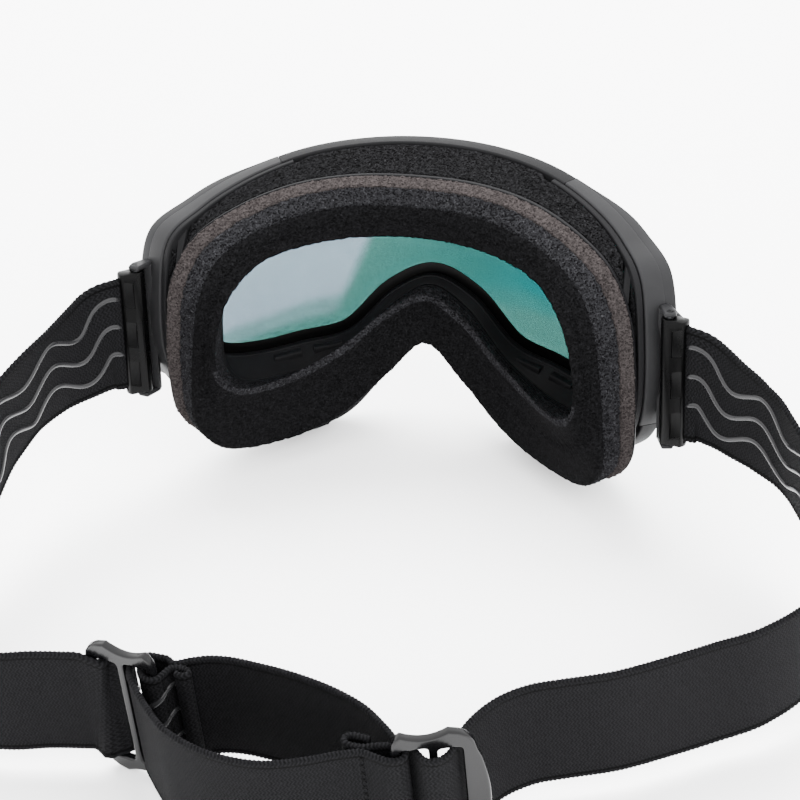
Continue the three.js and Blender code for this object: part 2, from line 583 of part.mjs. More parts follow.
// ---- silicone lines on the strap's inner face, waving along it from each clip ----
const wave = (distance) => SILICONE.swing * Math.sin((2 * Math.PI * distance) / SILICONE.wave);
for (const [name, inward] of [['left', -1], ['right', 1]]) {
  SILICONE.rows.forEach((height, row) => {
    addPart(group, `silicone_${name}_${row + 1}`, strip(ROUTES[`${name}_side`], {
      width: SILICONE.wide, thick: SILICONE.thick, step: SILICONE.wave / 6,
      from: SILICONE.start, to: SILICONE.start + SILICONE.length,
      offset: inward * (STRAP.thick / 2 + SILICONE.lift + SILICONE.thick / 2),
      rise: (distance) => height + wave(distance),
    }), SILICONE_GREY);
  });
}

// The origin is under the middle of the whole object, on the surface that it lies on.
const box = new THREE.Box3().setFromObject(group, true);
const middle = box.getCenter(new THREE.Vector3());
group.position.set(-middle.x, -middle.y, -box.min.z);

export default group;
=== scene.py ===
import json
import math

import bpy
import numpy as np
from mathutils import Matrix, Vector, noise


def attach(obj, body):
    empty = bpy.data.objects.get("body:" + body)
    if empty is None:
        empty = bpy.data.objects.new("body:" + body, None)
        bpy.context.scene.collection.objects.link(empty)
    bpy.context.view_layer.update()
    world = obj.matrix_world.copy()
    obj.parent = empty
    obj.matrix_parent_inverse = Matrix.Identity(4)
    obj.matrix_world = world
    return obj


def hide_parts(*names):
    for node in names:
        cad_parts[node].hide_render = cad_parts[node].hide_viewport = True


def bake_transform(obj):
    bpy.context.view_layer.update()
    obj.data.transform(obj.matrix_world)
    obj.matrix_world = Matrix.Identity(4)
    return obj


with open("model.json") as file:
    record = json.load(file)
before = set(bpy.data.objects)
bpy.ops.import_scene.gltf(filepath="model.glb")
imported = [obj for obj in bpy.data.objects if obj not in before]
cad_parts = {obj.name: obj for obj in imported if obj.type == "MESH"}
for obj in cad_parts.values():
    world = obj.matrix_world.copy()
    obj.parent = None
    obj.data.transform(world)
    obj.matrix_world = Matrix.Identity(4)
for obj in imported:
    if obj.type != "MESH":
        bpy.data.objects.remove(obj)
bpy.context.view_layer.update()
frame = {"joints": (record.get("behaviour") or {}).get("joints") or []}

# Ski goggles lying on a table. Shapes are worked out in millimetres, in the goggle's own frame or
# in the world's, and turned into metres when a mesh is made.

# ---- dimensions: the CAD part's, but with a stouter adjuster and finer silicone lines ----
GAP = 0.3
BOW_RADIUS, BOW_CENTRE = 98.0, 46.6
RIM_REAR = 92.1
FLANGE = (91.6, 94.2)
INNER_LENS = (94.6, 95.8)
GASKET = (96.1, 98.1)
OUTER_LENS = (98.4, 100.6)
OUTRIGGER = {"from": 2.42, "to": 7.55, "inner": 92.4, "side": 91.0, "band": 3.8, "side_band": 5.4}
HINGE = {"x": 84.2, "y": -1.5, "bar": 1.5, "bore": 1.9, "eye": 2.7, "lug": 1.6}
CLIP = {"height": 41.4, "reach": 5.6, "thick": 4.6, "slot": 2.2}
CLIP_ANGLE = {"left": 41.0, "right": 17.5}
STRAP = {"width": 38.0, "thick": 1.4}
SLIDER = {"height": 50.0, "half": 11.2, "thick": 2.6, "leg": 3.5, "bar": 2.4, "rail": 5.5}
SILICONE = {"wide": 1.7, "wave": 24.0, "swing": 3.4, "rows": (9.5, 0.0, -9.5), "start": 3.0}

RIM_OUTLINE = [
    (0, 53), (21, 52.2), (42, 49.5), (62, 44.2), (80, 37.4), (94, 30.6), (98.8, 12),
    (97.9, -10), (90, -24.5), (76, -35.5), (56, -47.5), (33, -43.5), (15, -25), (0, -8)]
APERTURE = [
    (0, 38), (20, 37.5), (40, 35.5), (57, 31.5), (72, 24.5), (81, 15), (84.5, 3),
    (82, -8), (74, -15), (61, -17), (46, -15.5), (30, -12.5), (14, 2), (0, 8)]
BASE_OUTER = [
    (0, 48), (20, 47.6), (38, 45.2), (54, 39.6), (66, 31.6), (72.5, 19), (74.5, 3),
    (74.8, -13), (73, -29), (64, -40.5), (45, -43.5), (27.5, -38.5), (13, -24), (0, -12)]
BASE_REAR_OUTER = [
    (0, 46.5), (20, 46), (37, 43), (51, 37.2), (62, 29.2), (68, 17), (69.8, 3),
    (70.3, -13), (69.5, -28.5), (62, -40), (44, -43), (27.5, -37.5), (13, -23), (0, -11.5)]
FACE_OUTER = [
    (0, 39.2), (19, 39), (34, 36.4), (46, 32.4), (55.5, 25), (60.5, 13), (62.4, 1),
    (63.8, -13), (64, -28.5), (58.5, -39.5), (42.5, -41.5), (27.5, -35.5), (13, -22.5),
    (0, -10.5)]
BASE_INNER = [
    (0, 33), (19, 32.5), (34, 30.5), (46, 27), (55, 19), (59, 8), (60, -3),
    (59.5, -13), (56, -20.5), (46, -22), (36, -20.5), (25, -14), (12, -0.5), (0, 6)]
FACE_INNER = [
    (0, 30), (18, 29.6), (32, 28.4), (43, 25.5), (51, 17.5), (55, 7), (56.5, -3),
    (55.5, -10), (50.5, -16), (42, -17), (33, -14.5), (23.5, -9), (12, 0), (0, 5.5)]
# how far the foam stands further forward towards the cheeks and nose, at each outline point
CHEEK = (0, 0, 0, 0, 0, 0, 0, 0, -1.5, -4.5, -8, -10, -12, -12.5)
LOOP = 26  # outline points all the way round

# ---- where the goggle's own frame lies: between the two clips' hinges ----
joints = {j["name"]: j for j in frame["joints"]}
hinge_left = Vector(joints["left_clip_swivel"]["pos_m"])
hinge_right = Vector(joints["right_clip_swivel"]["pos_m"])
up_axis = Vector(joints["left_clip_swivel"]["axis"]).normalized()
TIP = math.atan2(-up_axis.y, up_axis.z)
MM = 0.001
turn = Matrix.Rotation(TIP, 4, "X")
centre = (hinge_left + hinge_right) / 2 - turn @ Vector((0, HINGE["y"] * MM, 0))
BODY_HEIGHT = centre.z / MM
GOGGLE = Matrix.Translation(centre) @ turn @ Matrix.Scale(MM, 4)
WORLD = Matrix.Translation((centre.x, centre.y, 0)) @ Matrix.Scale(MM, 4)


# ---- curves ----
def spline(points, closed=False):
    """A centripetal curve through points; a place on it is a point's index."""
    given = np.array(points, float)
    count = len(given)
    if not closed:
        given = np.vstack([2 * given[0] - given[1], given, 2 * given[-1] - given[-2]])

    def pick(i):
        return given[i % count] if closed else given[i + 1]

    def at(place):
        t = np.atleast_1d(np.asarray(place, float))
        if closed:
            t = t % count
            i = np.floor(t).astype(int)
        else:
            i = np.clip(np.floor(t).astype(int), 0, count - 2)
        u = (t - i)[:, None]
        p0, p1, p2, p3 = (pick(i + k) for k in (-1, 0, 1, 2))
        d0, d1, d2 = (np.maximum(((b - a) ** 2).sum(1), 1e-12)[:, None] ** 0.25
                      for a, b in ((p0, p1), (p1, p2), (p2, p3)))
        t1 = ((p1 - p0) / d0 - (p2 - p0) / (d0 + d1) + (p2 - p1) / d1) * d1
        t2 = ((p2 - p1) / d1 - (p3 - p1) / (d1 + d2) + (p3 - p2) / d2) * d1
        return (p1 + t1 * u + (-3 * p1 + 3 * p2 - 2 * t1 - t2) * u ** 2
                + (2 * p1 - 2 * p2 + t1 + t2) * u ** 3)
    return at


def outline(half, depth=lambda x, i: 0.0):
    left = [(x, depth(x, i), z) for i, (x, z) in enumerate(half)]
    right = [(-x, y, z) for x, y, z in left[-2:0:-1]]
    return spline(left + right, closed=True)


def unit(v):
    return v / np.linalg.norm(v, axis=-1, keepdims=True)


def inset(curve, i, distance):
    i = np.asarray(i, float)
    tangent = unit(curve(i + 0.01) - curve(i - 0.01))
    normal = np.stack([tangent[:, 2], np.zeros(len(tangent)), -tangent[:, 0]], 1)
    return curve(i) + normal * np.broadcast_to(distance, len(tangent))[:, None]


def bow(points, radius):
    angle = points[:, 0] / BOW_RADIUS
    return np.stack([radius * np.sin(angle), BOW_CENTRE - radius * np.cos(angle), points[:, 2]], 1)


def shifted(points, y):
    return points + np.array([0, y, 0])


rim = outline(RIM_OUTLINE)
aperture = outline(APERTURE)
base_outer = outline(BASE_OUTER, lambda x, i: -28.7 + 0.00538 * x * x + CHEEK[i])
base_inner = outline(BASE_INNER, lambda x, i: -28.7 + 0.00538 * x * x + CHEEK[i])
base_rear = outline(BASE_REAR_OUTER, lambda x, i: -23.1 + 0.005 * x * x + CHEEK[i])
face_outer = outline(FACE_OUTER, lambda x, i: -20 + 0.0066 * x * x + CHEEK[i])
face_inner = outline(FACE_INNER, lambda x, i: -22 + 0.0095 * x * x + CHEEK[i])


def mirror(i):
    return LOOP - i


def from_top(i):
    i = np.asarray(i, float) % LOOP
    return np.minimum(i, LOOP - i)


def between(i, low, high, a, b):
    u = np.clip((from_top(i) - low) / (high - low), 0, 1)
    return a + (b - a) * u * u * (3 - 2 * u)


def outrigger_inner(i):
    return between(i, 3.5, 5, OUTRIGGER["inner"], OUTRIGGER["side"])


def outrigger_band(i):
    return between(i, 3.5, 5, OUTRIGGER["band"], OUTRIGGER["side_band"])


def flange_outer(i):
    return outrigger_band(i) + 0.4


def window_inset(i):
    return between(i, 3, 4.6, 0.7, 1.4)


SHOULDER, REAR_PLATE, WALL = 2.0, 1.8, 3.0
PLATE_FRONT = -(GAP + REAR_PLATE)


def window_radius(i):
    return between(i, 1.95, 2.15, RIM_REAR, outrigger_inner(i) - GAP - SHOULDER)


# ---- sections: corners of shape (stations, corners, 3), rounded and evenly spaced ----
def rounded(corners, radius, steps=4):
    c = np.stack(corners, 1)
    count = c.shape[1]
    radius = np.broadcast_to(radius, count)
    out = []
    for k in range(count):
        p, q, r = c[:, k - 1], c[:, k], c[:, (k + 1) % count]
        ends = []
        for other in (p, r):
            away = other - q
            length = np.maximum(np.linalg.norm(away, axis=1), 1e-9)
            ends.append(q + away * (np.minimum(radius[k], 0.48 * length) / length)[:, None])
        for u in np.linspace(0, 1, steps + 1):
            out.append((1 - u) ** 2 * ends[0] + 2 * u * (1 - u) * q + u * u * ends[1])
    return np.stack(out, 1)


def even(sections, count):
    """The same closed sections with points evenly spaced round them."""
    out = np.empty((len(sections), count, 3))
    for k, s in enumerate(sections):
        ring = np.vstack([s, s[:1]])
        along = np.concatenate([[0], np.cumsum(np.linalg.norm(np.diff(ring, axis=0), axis=1))])
        where = np.linspace(0, along[-1], count, endpoint=False)
        out[k] = np.stack([np.interp(where, along, ring[:, a]) for a in range(3)], 1)
    return out


def stations(start=0.0, end=float(LOOP), steps=12):
    closed = end - start == LOOP
    count = max(2, int(round((end - start) * steps)))
    return np.linspace(start, end, count + (0 if closed else 1), endpoint=not closed)


# ---- meshes ----
def make(name, verts, faces, place, material, sharp=40.0, uv=None):
    mesh = bpy.data.meshes.new(name)
    mesh.from_pydata(np.asarray(verts).tolist(), [], faces)
    mesh.transform(place)
    mesh.validate()
    mesh.update()
    obj = bpy.data.objects.new(name, mesh)
    bpy.context.scene.collection.objects.link(obj)
    mesh.materials.append(material)
    mesh.shade_smooth()
    if sharp:
        mesh.set_sharp_from_angle(angle=math.radians(sharp))
    if uv is not None:
        layer = mesh.uv_layers.new(name="UVMap")
        loops = np.empty(len(mesh.loops), int)
        mesh.loops.foreach_get("vertex_index", loops)
        layer.data.foreach_set("uv", np.asarray(uv, float)[loops].ravel())
    return obj


def skin(sections, closed):
    """Vertices and faces through sections; an open row gets end caps."""
    rows, side = sections.shape[:2]
    verts = sections.reshape(-1, 3)
    index = np.arange(rows * side).reshape(rows, side)
    near = index if closed else index[:-1]
    far = np.roll(index, -1, 0) if closed else index[1:]
    quads = np.stack([near, np.roll(near, -1, 1), np.roll(far, -1, 1), far], -1).reshape(-1, 4)
    faces = quads.tolist()
    volume = 0.0
    for i, j, k in ((0, 1, 2), (0, 2, 3)):
        p, q, r = (verts[quads[:, c]] for c in (i, j, k))
        volume += (p * np.cross(q, r)).sum()
    if not closed:
        for cap in (index[0][::-1], index[-1]):
            faces.append(cap.tolist())
            p, q, r = verts[cap[:1]], verts[cap[1:-1]], verts[cap[2:]]
            volume += (p * np.cross(q, r)).sum()
    if volume < 0:
        faces = [face[::-1] for face in faces]
    return verts, faces


def shells(parts):
    """Several closed skins as one mesh."""
    verts, faces, start = [], [], 0
    for v, f in parts:
        verts.append(v)
        faces += [[i + start for i in face] for face in f]
        start += len(v)
    return np.vstack(verts), faces


def swept(corner_fn, start=0.0, end=float(LOOP), steps=12, radius=0.4, bend=4):
    i = stations(start, end, steps)
    return skin(rounded(corner_fn(i), radius, bend), end - start == LOOP)


def bow_corners(curve, insets, radii):
    def corners(i):
        a, b = (f(i) if callable(f) else f for f in insets)
        ra, rb = (f(i) if callable(f) else f for f in radii)
        return [bow(inset(curve, i, a), ra), bow(inset(curve, i, a), rb),
                bow(inset(curve, i, b), rb), bow(inset(curve, i, b), ra)]
    return corners


# ---- materials ----
LIGHT = 6.2  # brightness of the studio
DIM, GLOSS = 0.155, 0.42  # how far the object's colours and its shine are taken down to suit it


def linear(hex_colour):
    values = [int(hex_colour[i:i + 2], 16) / 255 for i in (0, 2, 4)]
    return [((c + 0.055) / 1.055) ** 2.4 if c > 0.04045 else c / 12.92 for c in values] + [1.0]


def dark(hex_colour):
    """A colour for the object: the studio is bright, so its surfaces are taken down."""
    return [c * DIM for c in linear(hex_colour)[:3]] + [1.0]


class Nodes:
    """A small helper for node materials; values are set straight on the sockets."""

    def __init__(self, name):
        self.material = bpy.data.materials.new(name)
        self.material.use_nodes = True
        self.tree = self.material.node_tree
        self.shader = self.tree.nodes["Principled BSDF"]
        self.output = self.tree.nodes["Material Output"]

    def add(self, kind, **values):
        node = self.tree.nodes.new(kind)
        for key, value in values.items():
            if hasattr(node, key) and key not in node.inputs:
                setattr(node, key, value)
            else:
                node.inputs[key.replace("_", " ")].default_value = value
        return node

    def link(self, a, b):
        self.tree.links.new(a, b)

    def maths(self, operation, a, b=None):
        node = self.tree.nodes.new("ShaderNodeMath")
        node.operation = operation
        for k, v in enumerate((a, b)):
            if v is None:
                continue
            if isinstance(v, (int, float)):
                node.inputs[k].default_value = v
            else:
                self.link(v, node.inputs[k])
        return node.outputs[0]

    def coordinate(self, which="Object"):
        return self.add("ShaderNodeTexCoord").outputs[which]

    def noise(self, scale, detail=4.0, roughness=0.6):
        node = self.add("ShaderNodeTexNoise", Scale=scale, Detail=detail, Roughness=roughness)
        self.link(self.coordinate(), node.inputs["Vector"])
        return node.outputs["Fac"]

    def ramp(self, value, stops):
        node = self.add("ShaderNodeValToRGB")
        elements = node.color_ramp.elements
        while len(elements) < len(stops):
            elements.new(0.5)
        for element, (position, colour) in zip(elements, stops):
            element.position = position
            element.color = colour
        self.link(value, node.inputs["Fac"])
        return node.outputs["Color"]

    def bump(self, height, distance):
        node = self.add("ShaderNodeBump", Strength=1.0, Distance=distance)
        self.link(height, node.inputs["Height"])
        return node.outputs["Normal"]

    def surface(self, colour, rough, **values):
        for key, value in (("Base Color", colour), ("Roughness", rough)):
            if isinstance(value, (int, float, list, tuple)):
                self.shader.inputs[key].default_value = value
            else:
                self.link(value, self.shader.inputs[key])
        for key, value in values.items():
            self.shader.inputs[key.replace("_", " ")].default_value = (
                value * GLOSS if key.startswith("Specular") else value)
        return self.material

    def normal(self, socket):
        self.link(socket, self.shader.inputs["Normal"])


def moulded(name, colour, rough, grain=0.00003, spec=0.5):
    """Injection-moulded plastic with a fine spark-eroded grain and slight unevenness of gloss."""
    m = Nodes(name)
    grains = m.noise(4200.0, 2.0, 0.7)
    patches = m.noise(90.0, 3.0, 0.5)
    low, high = ([c * k for c in dark(colour)[:3]] + [1.0] for k in (0.86, 1.12))
    tint = m.ramp(patches, [(0.3, low), (0.7, high)])
    gloss = m.add("ShaderNodeMapRange", To_Min=rough - 0.05, To_Max=rough + 0.06)
    m.link(patches, gloss.inputs["Value"])
    m.normal(m.bump(grains, grain))
    return m.surface(tint, gloss.outputs["Result"], Specular_IOR_Level=spec)


def foam(name, pore, skin_colour, scale, depth, low=0.2, high=0.8, glint=None):
    """Open-cell foam: each cell has its own brightness, and the cells' recessed floors are darker as
    painted shade; a glint colour, where given, is a painted highlight.
    """
    m = Nodes(name)
    cells = m.add("ShaderNodeTexVoronoi", Scale=scale)
    m.link(m.coordinate(), cells.inputs["Vector"])
    own = m.add("ShaderNodeSeparateColor")
    m.link(cells.outputs["Color"], own.inputs[0])
    fine = m.noise(scale * 2.2, 3.0, 0.7)
    # distance from the cell's centre makes the lower, recessed floors darker, as painted shade; the
    # cell's own value and the fine noise vary the tone
    mixed = m.maths("ADD", m.maths("MULTIPLY", cells.outputs["Distance"], 0.35),
                    m.maths("ADD", m.maths("MULTIPLY", own.outputs[0], 0.5),
                            m.maths("MULTIPLY", fine, 0.3)))
    stops = [(low, dark(pore)), (high, dark(skin_colour))]
    # a glint colour, where given, is a painted highlight on the highest, brightest cells
    if glint:
        stops.append((min(1.0, high + 0.2), dark(glint)))
    colour = m.ramp(mixed, stops)
    m.normal(m.bump(mixed, depth))
    return m.surface(colour, 0.95, Specular_IOR_Level=0.04)


def webbing(name):
    """Knitted elastic: zig-zag ribs along the length, and a plain thick selvage at both edges."""
    m = Nodes(name)
    split = m.add("ShaderNodeSeparateXYZ")
    m.link(m.coordinate("UV"), split.inputs[0])
    along, across = split.outputs[0], split.outputs[1]
    zig = m.maths("MULTIPLY", m.maths("PINGPONG", across, 0.9), 0.85)
    phase = m.maths("MULTIPLY", m.maths("ADD", along, zig), 2 * math.pi / 1.05)
    ribs = m.maths("SINE", phase)
    yarn = m.noise(1700.0, 4.0, 0.8)
    height = m.maths("ADD", m.maths("MULTIPLY", ribs, 0.45), m.maths("MULTIPLY", yarn, 2.6))
    # a groove beside the corded edge, where the needles went through; its darkness is painted shade
    from_edge = m.maths("ABSOLUTE", m.maths("SUBTRACT", across, 30.0))
    groove = m.maths("MULTIPLY", m.maths("GREATER_THAN", from_edge, 16.7),
                     m.maths("LESS_THAN", from_edge, 17.45))
    height = m.maths("SUBTRACT", height, m.maths("MULTIPLY", groove, 1.6))
    # the colour follows the height: the ribs' valleys, low yarn and the groove come out darker, as
    # painted shade
    colour = m.ramp(m.maths("ADD", m.maths("MULTIPLY", height, 0.26), 0.15),
                    [(0.33, dark("0e0e0f")), (0.7, dark("38383b"))])
    m.normal(m.bump(height, 0.00007))
    return m.surface(colour, 0.85, Specular_IOR_Level=0.09)


FRAME_PLASTIC = moulded("frame_plastic_look", "2b2b2d", 0.55, spec=0.14)
RIM_PLASTIC = moulded("outrigger_plastic_look", "424244", 0.5, 0.00002, 0.22)
CLIP_PLASTIC = moulded("clip_plastic_look", "0b0b0c", 0.28, 0.000008, 0.14)
SLIDER_PLASTIC = moulded("slider_plastic_look", "1c1c1e", 0.22, 0.000006, 0.42)
GASKET_FOAM = foam("gasket_look", "050505", "121213", 5200.0, 0.00003)
# the third colour, where given, is a painted glint on the brightest foam cells
VENT_FOAM = foam("vent_foam_look", "010101", "3a3a3c", 2100.0, 0.0005, 0.3, 0.85, "6a6a6e")
BASE_FOAM = foam("base_foam_look", "262222", "7c7473", 2100.0, 0.0004, 0.15, 0.95)
MIDDLE_FOAM = foam("middle_foam_look", "050505", "545458", 2100.0, 0.0005, 0.25, 0.85, "8c8c90")
FLEECE = foam("face_fleece_look", "080808", "2e2e30", 2300.0, 0.0003, 0.25, 0.85, "4c4c50")
WEBBING = webbing("webbing_look")


def grained(name, colour, rough, scale, detail, depth, **values):
    """One colour with a fine, even grain."""
    m = Nodes(name)
    m.normal(m.bump(m.noise(scale, detail), depth))
    return m.surface(dark(colour), rough, **values)


def dark_glass(hex_colour):
    return [c * 0.65 for c in linear(hex_colour)[:3]] + [1.0]


def lens_look(name, through, mirror_colour=None):
    """A thin tinted lens; the mirror coating glances light off the outside only.

    The tint's pale side and its streaks are painted by place, in place of real reflections.
    """
    m = Nodes(name)
    clear = m.add("ShaderNodeBsdfTransparent")
    place = m.add("ShaderNodeSeparateXYZ")
    m.link(m.coordinate(), place.inputs[0])
    # noise that wobbles the edges of the painted reflection's streaks
    reflection_wobble = m.noise(30.0, 3.0, 0.6)
    across = m.maths("ADD", place.outputs[0], m.maths("MULTIPLY", place.outputs[2], 0.46))
    colours = [dark_glass(c) for c in through]
    # the tint across the lens, turning at one side into a pale painted reflection
    tint = m.ramp(m.maths("MULTIPLY", m.maths("ADD", across, 0.05), 7.0),
                  [(0.1, colours[0]), (0.5, colours[1]), (0.755, colours[2]), (0.785, colours[3])])
    # low down on the pale side the painted reflection gives way to the tint, in streaks
    height = m.maths("ADD", place.outputs[2], m.maths("MULTIPLY", reflection_wobble, 0.006))
    height = m.maths("ADD", height, m.maths("MULTIPLY", place.outputs[0], 0.10))
    streaks = m.ramp(m.maths("MULTIPLY", m.maths("ADD", height, -0.035), 40.0),
                     [(0.28, (0, 0, 0, 1)), (0.42, (0.55, 0.55, 0.55, 1)),
                      (0.47, (0.35, 0.35, 0.35, 1)), (0.62, (1, 1, 1, 1))])
    low = m.add("ShaderNodeMixRGB")
    m.link(streaks, low.inputs["Fac"])
    low.inputs["Color1"].default_value = colours[2]
    m.link(tint, low.inputs["Color2"])
    m.link(low.outputs["Color"], clear.inputs["Color"])
    if not mirror_colour:
        m.link(clear.outputs[0], m.output.inputs["Surface"])
        return m.material
    shine = m.add("ShaderNodeBsdfGlossy", Roughness=0.05, Color=dark_glass(mirror_colour))
    edge = m.add("ShaderNodeLayerWeight", Blend=0.35)
    amount = m.maths("ADD", 0.35, m.maths("MULTIPLY", edge.outputs["Fresnel"], 0.4))
    outside = m.maths("SUBTRACT", 1.0, m.add("ShaderNodeNewGeometry").outputs["Backfacing"])
    mix = m.add("ShaderNodeMixShader")
    m.link(m.maths("MULTIPLY", amount, outside), mix.inputs[0])
    m.link(clear.outputs[0], mix.inputs[1])
    m.link(shine.outputs[0], mix.inputs[2])
    m.link(mix.outputs[0], m.output.inputs["Surface"])
    return m.material


THREAD = grained("thread_look", "1d1d1e", 0.7, 3000.0, 2.0, 0.00006, Specular_IOR_Level=0.1)
STEEL = grained("bar_steel_look", "8c8d90", 0.35, 900.0, 3.0, 0.00001, Metallic=1.0)
NICKEL = grained("magnet_look", "9a9b9e", 0.25, 900.0, 3.0, 0.00001, Metallic=1.0)
SILICONE_RUBBER = grained("silicone_look", "48484a", 0.24, 700.0, 2.0, 0.00003,
                          Specular_IOR_Level=0.42)
# the lens tint; its palest colour is a painted reflection
LENS_TINT_AND_REFLECTION = ("20b4ba", "76aeaa", "8cb8b2", "ccdae2")
OUTER_LENS_LOOK = lens_look("outer_lens_look", LENS_TINT_AND_REFLECTION)
MIRROR_LOOK = lens_look("outer_mirror_look", LENS_TINT_AND_REFLECTION, "4f9fb4")
INNER_LENS_LOOK = lens_look("inner_lens_look", ("ffffff", "ffffff", "ffffff", "ffffff"))
LENS_BORDER = grained("lens_border_look", "0c0c0d", 0.3, 2500.0, 2.0, 0.000008,
                      Specular_IOR_Level=0.15)


def stand_for(obj, body, slot, *nodes):
    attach(obj, body)
    if nodes:
        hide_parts(*nodes)
    return obj


# ---- the moulded frame ----
def frame_shell():
    seam, heel = OUTRIGGER["from"] - 0.008, OUTRIGGER["to"] + 0.02
    parts = []
    for a, b in ((mirror(seam) - LOOP, seam), (heel, mirror(heel))):
        parts.append(swept(bow_corners(rim, (0, lambda i: flange_outer(i) + 0.3),
                                       (RIM_REAR, BOW_RADIUS)), a, b, 12, 0.7))
    for a, b in ((seam - 0.18, heel + 0.4), (mirror(heel + 0.4), mirror(seam - 0.18))):
        parts.append(swept(bow_corners(
            rim, (0.4, lambda i: flange_outer(i) + 0.4),
            (lambda i: outrigger_inner(i) - GAP - SHOULDER, lambda i: outrigger_inner(i) - GAP)),
            a, b, 12, 0.5))

    def flange(i):
        return [bow(inset(rim, i, flange_outer(i)), FLANGE[0]),
                bow(inset(rim, i, flange_outer(i)), FLANGE[1]),
                bow(aperture(i), FLANGE[1]), bow(aperture(i), FLANGE[0])]
    parts.append(swept(flange, radius=0.5))

    def plate(i):
        return [shifted(base_outer(i), PLATE_FRONT), shifted(base_outer(i), -GAP),
                shifted(base_inner(i), -GAP), shifted(base_inner(i), PLATE_FRONT)]
    parts.append(swept(plate, radius=0.5))

    def sill(i):
        return [bow(aperture(i), FLANGE[0] + 0.5), shifted(base_inner(i), PLATE_FRONT + 0.5),
                shifted(inset(base_inner, i, -SHOULDER), PLATE_FRONT + 0.5),
                bow(inset(aperture, i, -SHOULDER), FLANGE[0] + 0.5)]
    parts.append(swept(sill, 7.4, mirror(7.4), radius=0.5))
    for a, b in ((9.25, 9.9), (10.2, 10.8)):
        for start, end in ((a, b), (mirror(b), mirror(a))):
            parts.append(swept(bow_corners(aperture, (-6, -1), (88.4, FLANGE[0] + 0.5)),
                               start, end, 18, 0.9))
    for a, b in RIBS:
        parts.append(swept(lambda i: wall_corners(i, 0.5), a, b, 24, 0.6))
    return shells(parts)


def wall_corners(i, lap):
    outside = bow(inset(rim, i, window_inset(i)), window_radius(i) + lap)
    inside = bow(inset(rim, i, window_inset(i) + WALL), window_radius(i) + lap)
    rear = shifted(base_outer(i), PLATE_FRONT + lap)
    to_centre = unit(shifted(base_inner(i), PLATE_FRONT + lap) - rear) * WALL
    return [outside, rear, rear + to_centre, inside]


RIBS = [(4.45, 4.75), (7.9, 8.6), (10.9, mirror(10.9)), (mirror(8.6), mirror(7.9)),
        (mirror(4.75), mirror(4.45))]
stand_for(make("frame_moulding", *frame_shell(), GOGGLE, FRAME_PLASTIC), "frame",
          "frame_plastic", "face_frame")


# ---- foam ----
def roughened(sections, amount, scale, seed, fuzz):
    """Pushes each point in or out by smooth noise and a little fuzz, as cut open cells are."""
    middle = sections.mean(1, keepdims=True)
    away = unit(sections - middle)
    shift = Vector((seed, 0, 0))
    smooth = [noise.noise(Vector(p) + shift) for p in (sections * scale).reshape(-1, 3).tolist()]
    push = amount * np.array(smooth).reshape(sections.shape[:2])
    push += fuzz * np.random.default_rng(int(seed)).standard_normal(sections.shape[:2])
    return sections + away * push[..., None]


WINDOWS = {
    "vent_foam_top": (mirror(4.38) - LOOP, 4.38),
    "vent_foam_left": (5.15, 7.8),
    "vent_foam_right": (mirror(7.8), mirror(5.15)),
    "vent_foam_bottom_left": (8.75, 10.75),
    "vent_foam_bottom_right": (mirror(10.75), mirror(8.75)),
}
for number, (node, (a, b)) in enumerate(WINDOWS.items()):
    i = stations(a, b, 24)
    section = roughened(even(rounded(wall_corners(i, -GAP), 0.5), 100), 0.3, 0.9,
                        number * 7.0, 0.07)
    pad = make(node + "_cut", *skin(section, False), GOGGLE, VENT_FOAM)
    stand_for(pad, "frame", "vent_foam", node)

FLEECE_FROM = 0.72  # where the fleece starts, from the base foam's rear to the face


def line_inside(pad, section, corners, share, low_from):
    """The black foam lines the inner wall, so a layer's faces there take that foam's look."""
    outer, inner = (corners[0] + corners[1]) / 2, (corners[2] + corners[3]) / 2
    width = np.linalg.norm(inner - outer, axis=1)[:, None]
    across = ((inner - outer) / width)[:, None]
    depth = ((section - outer[:, None]) * across).sum(-1) / width
    depth[from_top(i) < low_from] = -1
    pad.data.materials.append(MIDDLE_FOAM)
    side = section.shape[1]
    for face in pad.data.polygons:
        face.material_index = int(all(depth[v // side, v % side] > share for v in face.vertices))


def mixed(a, b, t):
    return lambda i: a(i) * (1 - t) + b(i) * t


LINED_FROM = {"foam_base": (0.5, 0), "foam_face": (0.86, 6.6)}
LAYERS = {
    "foam_base": (mixed(base_outer, base_rear, 0), mixed(base_outer, base_rear, 1),
                  mixed(base_inner, face_inner, 0.3), mixed(base_inner, face_inner, 0),
                  BASE_FOAM, "base_foam", 0.25, 0.9, 0.16),
    "foam_middle": (mixed(base_rear, face_outer, 0), mixed(base_rear, face_outer, FLEECE_FROM),
                    mixed(base_inner, face_inner, 0.8), mixed(base_inner, face_inner, 0.3),
                    MIDDLE_FOAM, "middle_foam", 0.5, 0.6, 0.14),
    "foam_face": (mixed(base_rear, face_outer, FLEECE_FROM), mixed(base_rear, face_outer, 1),
                  mixed(base_inner, face_inner, 1), mixed(base_inner, face_inner, 0.8),
                  FLEECE, "face_fleece", 0.3, 0.7, 0.1),
}
for number, (node, layer) in enumerate(LAYERS.items()):
    (front_outer, rear_outer, rear_inner, front_inner, look, slot_name, bumpy, soft,
     fuzz) = layer
    i = stations(steps=40)
    half = 0.0 if node == "foam_base" else GAP / 2
    corners = [shifted(front_outer(i), half), shifted(rear_outer(i), -GAP / 2),
               shifted(rear_inner(i), -GAP / 2), shifted(front_inner(i), half)]
    round_off = (0.5, 3.4, 2.6, 0.5) if node == "foam_face" else (0.7, 0.7, 0.7, 0.7)
    section = roughened(even(rounded(corners, round_off, 6), 124), bumpy, soft,
                        30.0 + number * 9, fuzz)
    pad = make(node + "_layer", *skin(section, True), GOGGLE, look, sharp=55.0)
    if node in LINED_FROM:
        line_inside(pad, section, corners, *LINED_FROM[node])
    stand_for(pad, "frame", slot_name, node)


